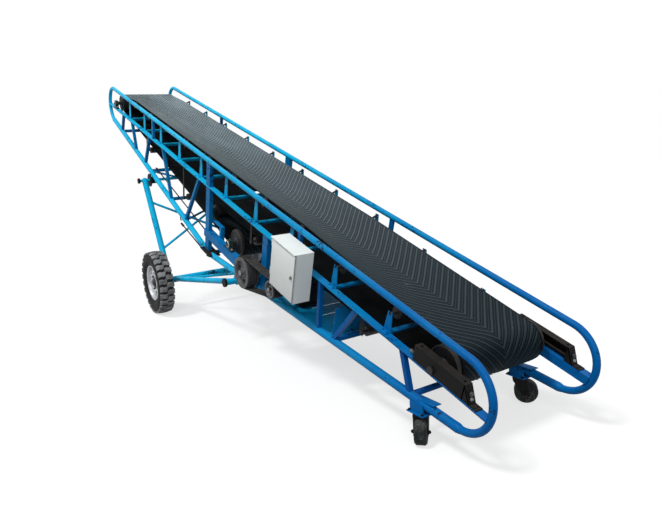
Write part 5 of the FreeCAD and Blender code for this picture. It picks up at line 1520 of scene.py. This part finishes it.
@dataclass
class TakeUpTrim:
    """Threads, nuts and bolts of the screw take-ups."""

    start: float = -0.048
    length: float = 0.430
    z: float = -0.225
    span: float = 0.450
    turns: int = 14
    thread_pitch: float = 0.0035
    cores: Pair = (0.0098, 0.0118)
    strap_nut: Pair = (0.4125, -0.196)
    strap_way: Triple = (0.875, 0, 0.482)

    def build(self, shop: Workshop) -> None:
        """Build and dress the take-ups' finer parts.

        Args:
            shop: the workshop.
        """
        ridges = []
        core, crest = self.cores
        for index in range(self.turns):
            low = index * self.thread_pitch
            ridges += [(core, low), (crest, low + self.thread_pitch / 2)]
        end = self.turns * self.thread_pitch
        thread = [(0.0, 0.0)] + ridges + [(core, end), (0.0, end)]
        threads, screws = [], []
        for side in both_sides(self.span):
            threads += [side @ shift(place, 0, self.z)
                        for place in (self.start - 0.052, self.start + self.length + 0.001)]
            screws += [side @ facing((self.strap_nut[0], 0, self.strap_nut[1]), self.strap_way),
                       side @ facing((self.start - 0.001, 0, self.z), (-1, 0, 0))]
        shop.dress(stamped(turned(thread, 18, Turn.ALONG), threads), "take_up_threads", FRAME, "shaft_steel")
        shop.dress(bolts(screws, 0.014), "take_up_nuts", FRAME, "cast_iron")
        web = cut_plate(((0.372, -0.150), (0.380, -0.150), (0.438, -0.249), (0.372, -0.249)), 0.005, 0.001)
        webs = [side @ shift(0, across, 0) for side in both_sides(self.span) for across in (-0.0255, 0.0255)]
        shop.dress(stamped(web, webs), "take_up_gussets", FRAME, "black_paint")
        tops = [side @ shift(self.start + place, 0, -0.148) for side in both_sides(self.span)
                for place in (0.03, 0.40)]
        feet = [side @ shift(self.start + self.length + 0.085, across, -0.249)
                for side in both_sides(self.span) for across in (-0.015, 0.015)]
        shop.dress(bolts(tops + feet, 0.009), "take_up_bolts", FRAME, "black_paint")


# ---------------------------------------------------------------- studio
@dataclass
class Studio:
    """Floor, light and camera."""

    floor_half: float = 30.0
    floor_tone: float = 0.95
    bounce_tone: float = 0.2
    glow_share: float = 0.62
    focal_length: float = 32.664
    lens_shift: Pair = (0.00204545, -0.00718182)
    camera_place: Triple = (5.77808, -2.7116, 1.8076)
    camera_angles: Triple = (80.1238, 3.7706, 57.3600)

    def floor(self) -> None:
        """Build the pale floor, which looks white beyond the machine's shadow."""
        start_clean()
        bpy.ops.mesh.primitive_plane_add(size=2 * self.floor_half, location=(0, 0, 0))
        sheet = bpy.context.object
        sheet.name = "floor"
        material = bpy.data.materials.new("studio_floor")
        material.use_nodes = True
        tree = material.node_tree
        tree.nodes.clear()
        seen, glow, share = (tree.nodes.new(f"ShaderNode{kind}")
                             for kind in ("BsdfDiffuse", "Emission", "MixShader"))
        bounce, choice, path = (tree.nodes.new(f"ShaderNode{kind}")
                                for kind in ("BsdfDiffuse", "MixShader", "LightPath"))
        seen.inputs["Color"].default_value = (self.floor_tone, self.floor_tone, self.floor_tone, 1)
        bounce.inputs["Color"].default_value = (self.bounce_tone, self.bounce_tone, self.bounce_tone, 1)
        glow.inputs["Strength"].default_value = 1.05
        share.inputs[0].default_value = self.glow_share
        tree.links.new(seen.outputs[0], share.inputs[1])
        tree.links.new(glow.outputs[0], share.inputs[2])
        shown = math_node(tree, "MAXIMUM", path.outputs["Is Camera Ray"], path.outputs["Is Glossy Ray"])
        tree.links.new(math_node(tree, "MAXIMUM", shown, path.outputs["Is Transmission Ray"]),
                       choice.inputs[0])
        tree.links.new(bounce.outputs[0], choice.inputs[1])
        tree.links.new(share.outputs[0], choice.inputs[2])
        tree.links.new(choice.outputs[0], tree.nodes.new("ShaderNodeOutputMaterial").inputs["Surface"])
        sheet.data.materials.append(material)

    def world(self) -> None:
        """Even light from all round, white to the camera and in reflections."""
        world = bpy.data.worlds.new("studio")
        bpy.context.scene.world = world
        world.use_nodes = True
        tree = world.node_tree
        tree.nodes.clear()
        light, white = tree.nodes.new("ShaderNodeBackground"), tree.nodes.new("ShaderNodeBackground")
        for source, colour, strength in ((light, (0.97, 0.985, 1.0, 1), 0.42), (white, (1, 1, 1, 1), 1.0)):
            source.inputs["Color"].default_value = colour
            source.inputs["Strength"].default_value = strength
        path, mix = tree.nodes.new("ShaderNodeLightPath"), tree.nodes.new("ShaderNodeMixShader")
        seen = math_node(tree, "MAXIMUM", path.outputs["Is Camera Ray"], path.outputs["Is Transmission Ray"])
        seen = math_node(tree, "MAXIMUM", seen, path.outputs["Is Glossy Ray"])
        tree.links.new(seen, mix.inputs[0])
        tree.links.new(light.outputs[0], mix.inputs[1])
        tree.links.new(white.outputs[0], mix.inputs[2])
        tree.links.new(mix.outputs[0], tree.nodes.new("ShaderNodeOutputWorld").inputs["Surface"])

    def lamps(self) -> None:
        """Broad key light and a weaker fill."""
        for name, energy, size, angles in (("key", 1.75, 12, (26, 5, -18)), ("fill", 1.1, 26, (58, 0, 62))):
            lamp = bpy.data.lights.new(name, "SUN")
            lamp.energy, lamp.angle = energy, math.radians(size)
            stand = bpy.data.objects.new(name, lamp)
            bpy.context.scene.collection.objects.link(stand)
            stand.rotation_euler = [math.radians(value) for value in angles]

    def camera(self) -> None:
        """Camera at the view from the tail's near side."""
        lens = bpy.data.cameras.new("view")
        lens.lens = self.focal_length
        lens.shift_x, lens.shift_y = self.lens_shift
        stand = bpy.data.objects.new("view", lens)
        bpy.context.scene.collection.objects.link(stand)
        stand.location = self.camera_place
        stand.rotation_euler = [math.radians(value) for value in self.camera_angles]
        bpy.context.scene.camera = stand

    def build(self) -> None:
        """Set the whole studio up."""
        self.floor()
        self.world()
        self.lamps()
        self.camera()
        bpy.context.scene.view_settings.view_transform = "Standard"


# ---------------------------------------------------------------- the whole machine
def paint_nodes(frame: dict, materials: dict[str, Material]) -> None:
    """Give every CAD part its finish.

    Args:
        materials: the finishes.
    """
    slots = {part["node"]: part["material_slot"] for part in frame["record"]["subparts"]}
    # The lower and inner members take the darker blue copy of the frame paint: painted shade.
    inner = ["cross_members", "chord_lattice", "drive_frame"]
    inner += [f"{label}_{part}" for label, _ in SIDES for part in ("posts", "truss")]
    # The return hangers take the black finish in place of the record's slot; it stands in for the deep shade
    # where they sit: painted shade.
    own = {name: "shaded_blue_paint" for name in inner} | {"return_hangers": "black_paint"}
    for name, piece in frame["nodes"].items():
        piece.data.materials.clear()
        piece.data.materials.append(materials[own.get(name, slots[name])])
        LOG.info("%s: %s", name, slots[name])


def main() -> None:
    """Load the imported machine, finish its parts and add the finer pieces."""
    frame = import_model()
    logging.basicConfig(level=logging.INFO, format="%(name)s %(message)s")
    effects = build_effects()
    materials = {finish.name: finish.build(effects) for finish in FINISHES}
    paint_nodes(frame, materials)
    shop = Workshop(materials)
    HerringboneBelt().build(shop)
    VeeDrive().build(shop)
    for label, side in SIDES:
        RoadWheel(label, side).build(shop)
    for (label, side), yaw in zip(SIDES, (-47.0, 43.0)):
        CasterTrim(label, side, yaw).build(shop)
    FinnedMotor().build(shop)
    SwitchCabinet().build(shop)
    chords = Chords()
    chords.build(shop)
    chords.build_reducers(shop)
    IdlerTrim().build(shop)
    BearingTrim().build(shop)
    TakeUpTrim().build(shop)
    SnubSeat().build(shop)
    DrumEnds().build(shop)
    Studio().build()


if __name__ == "__main__":
    main()
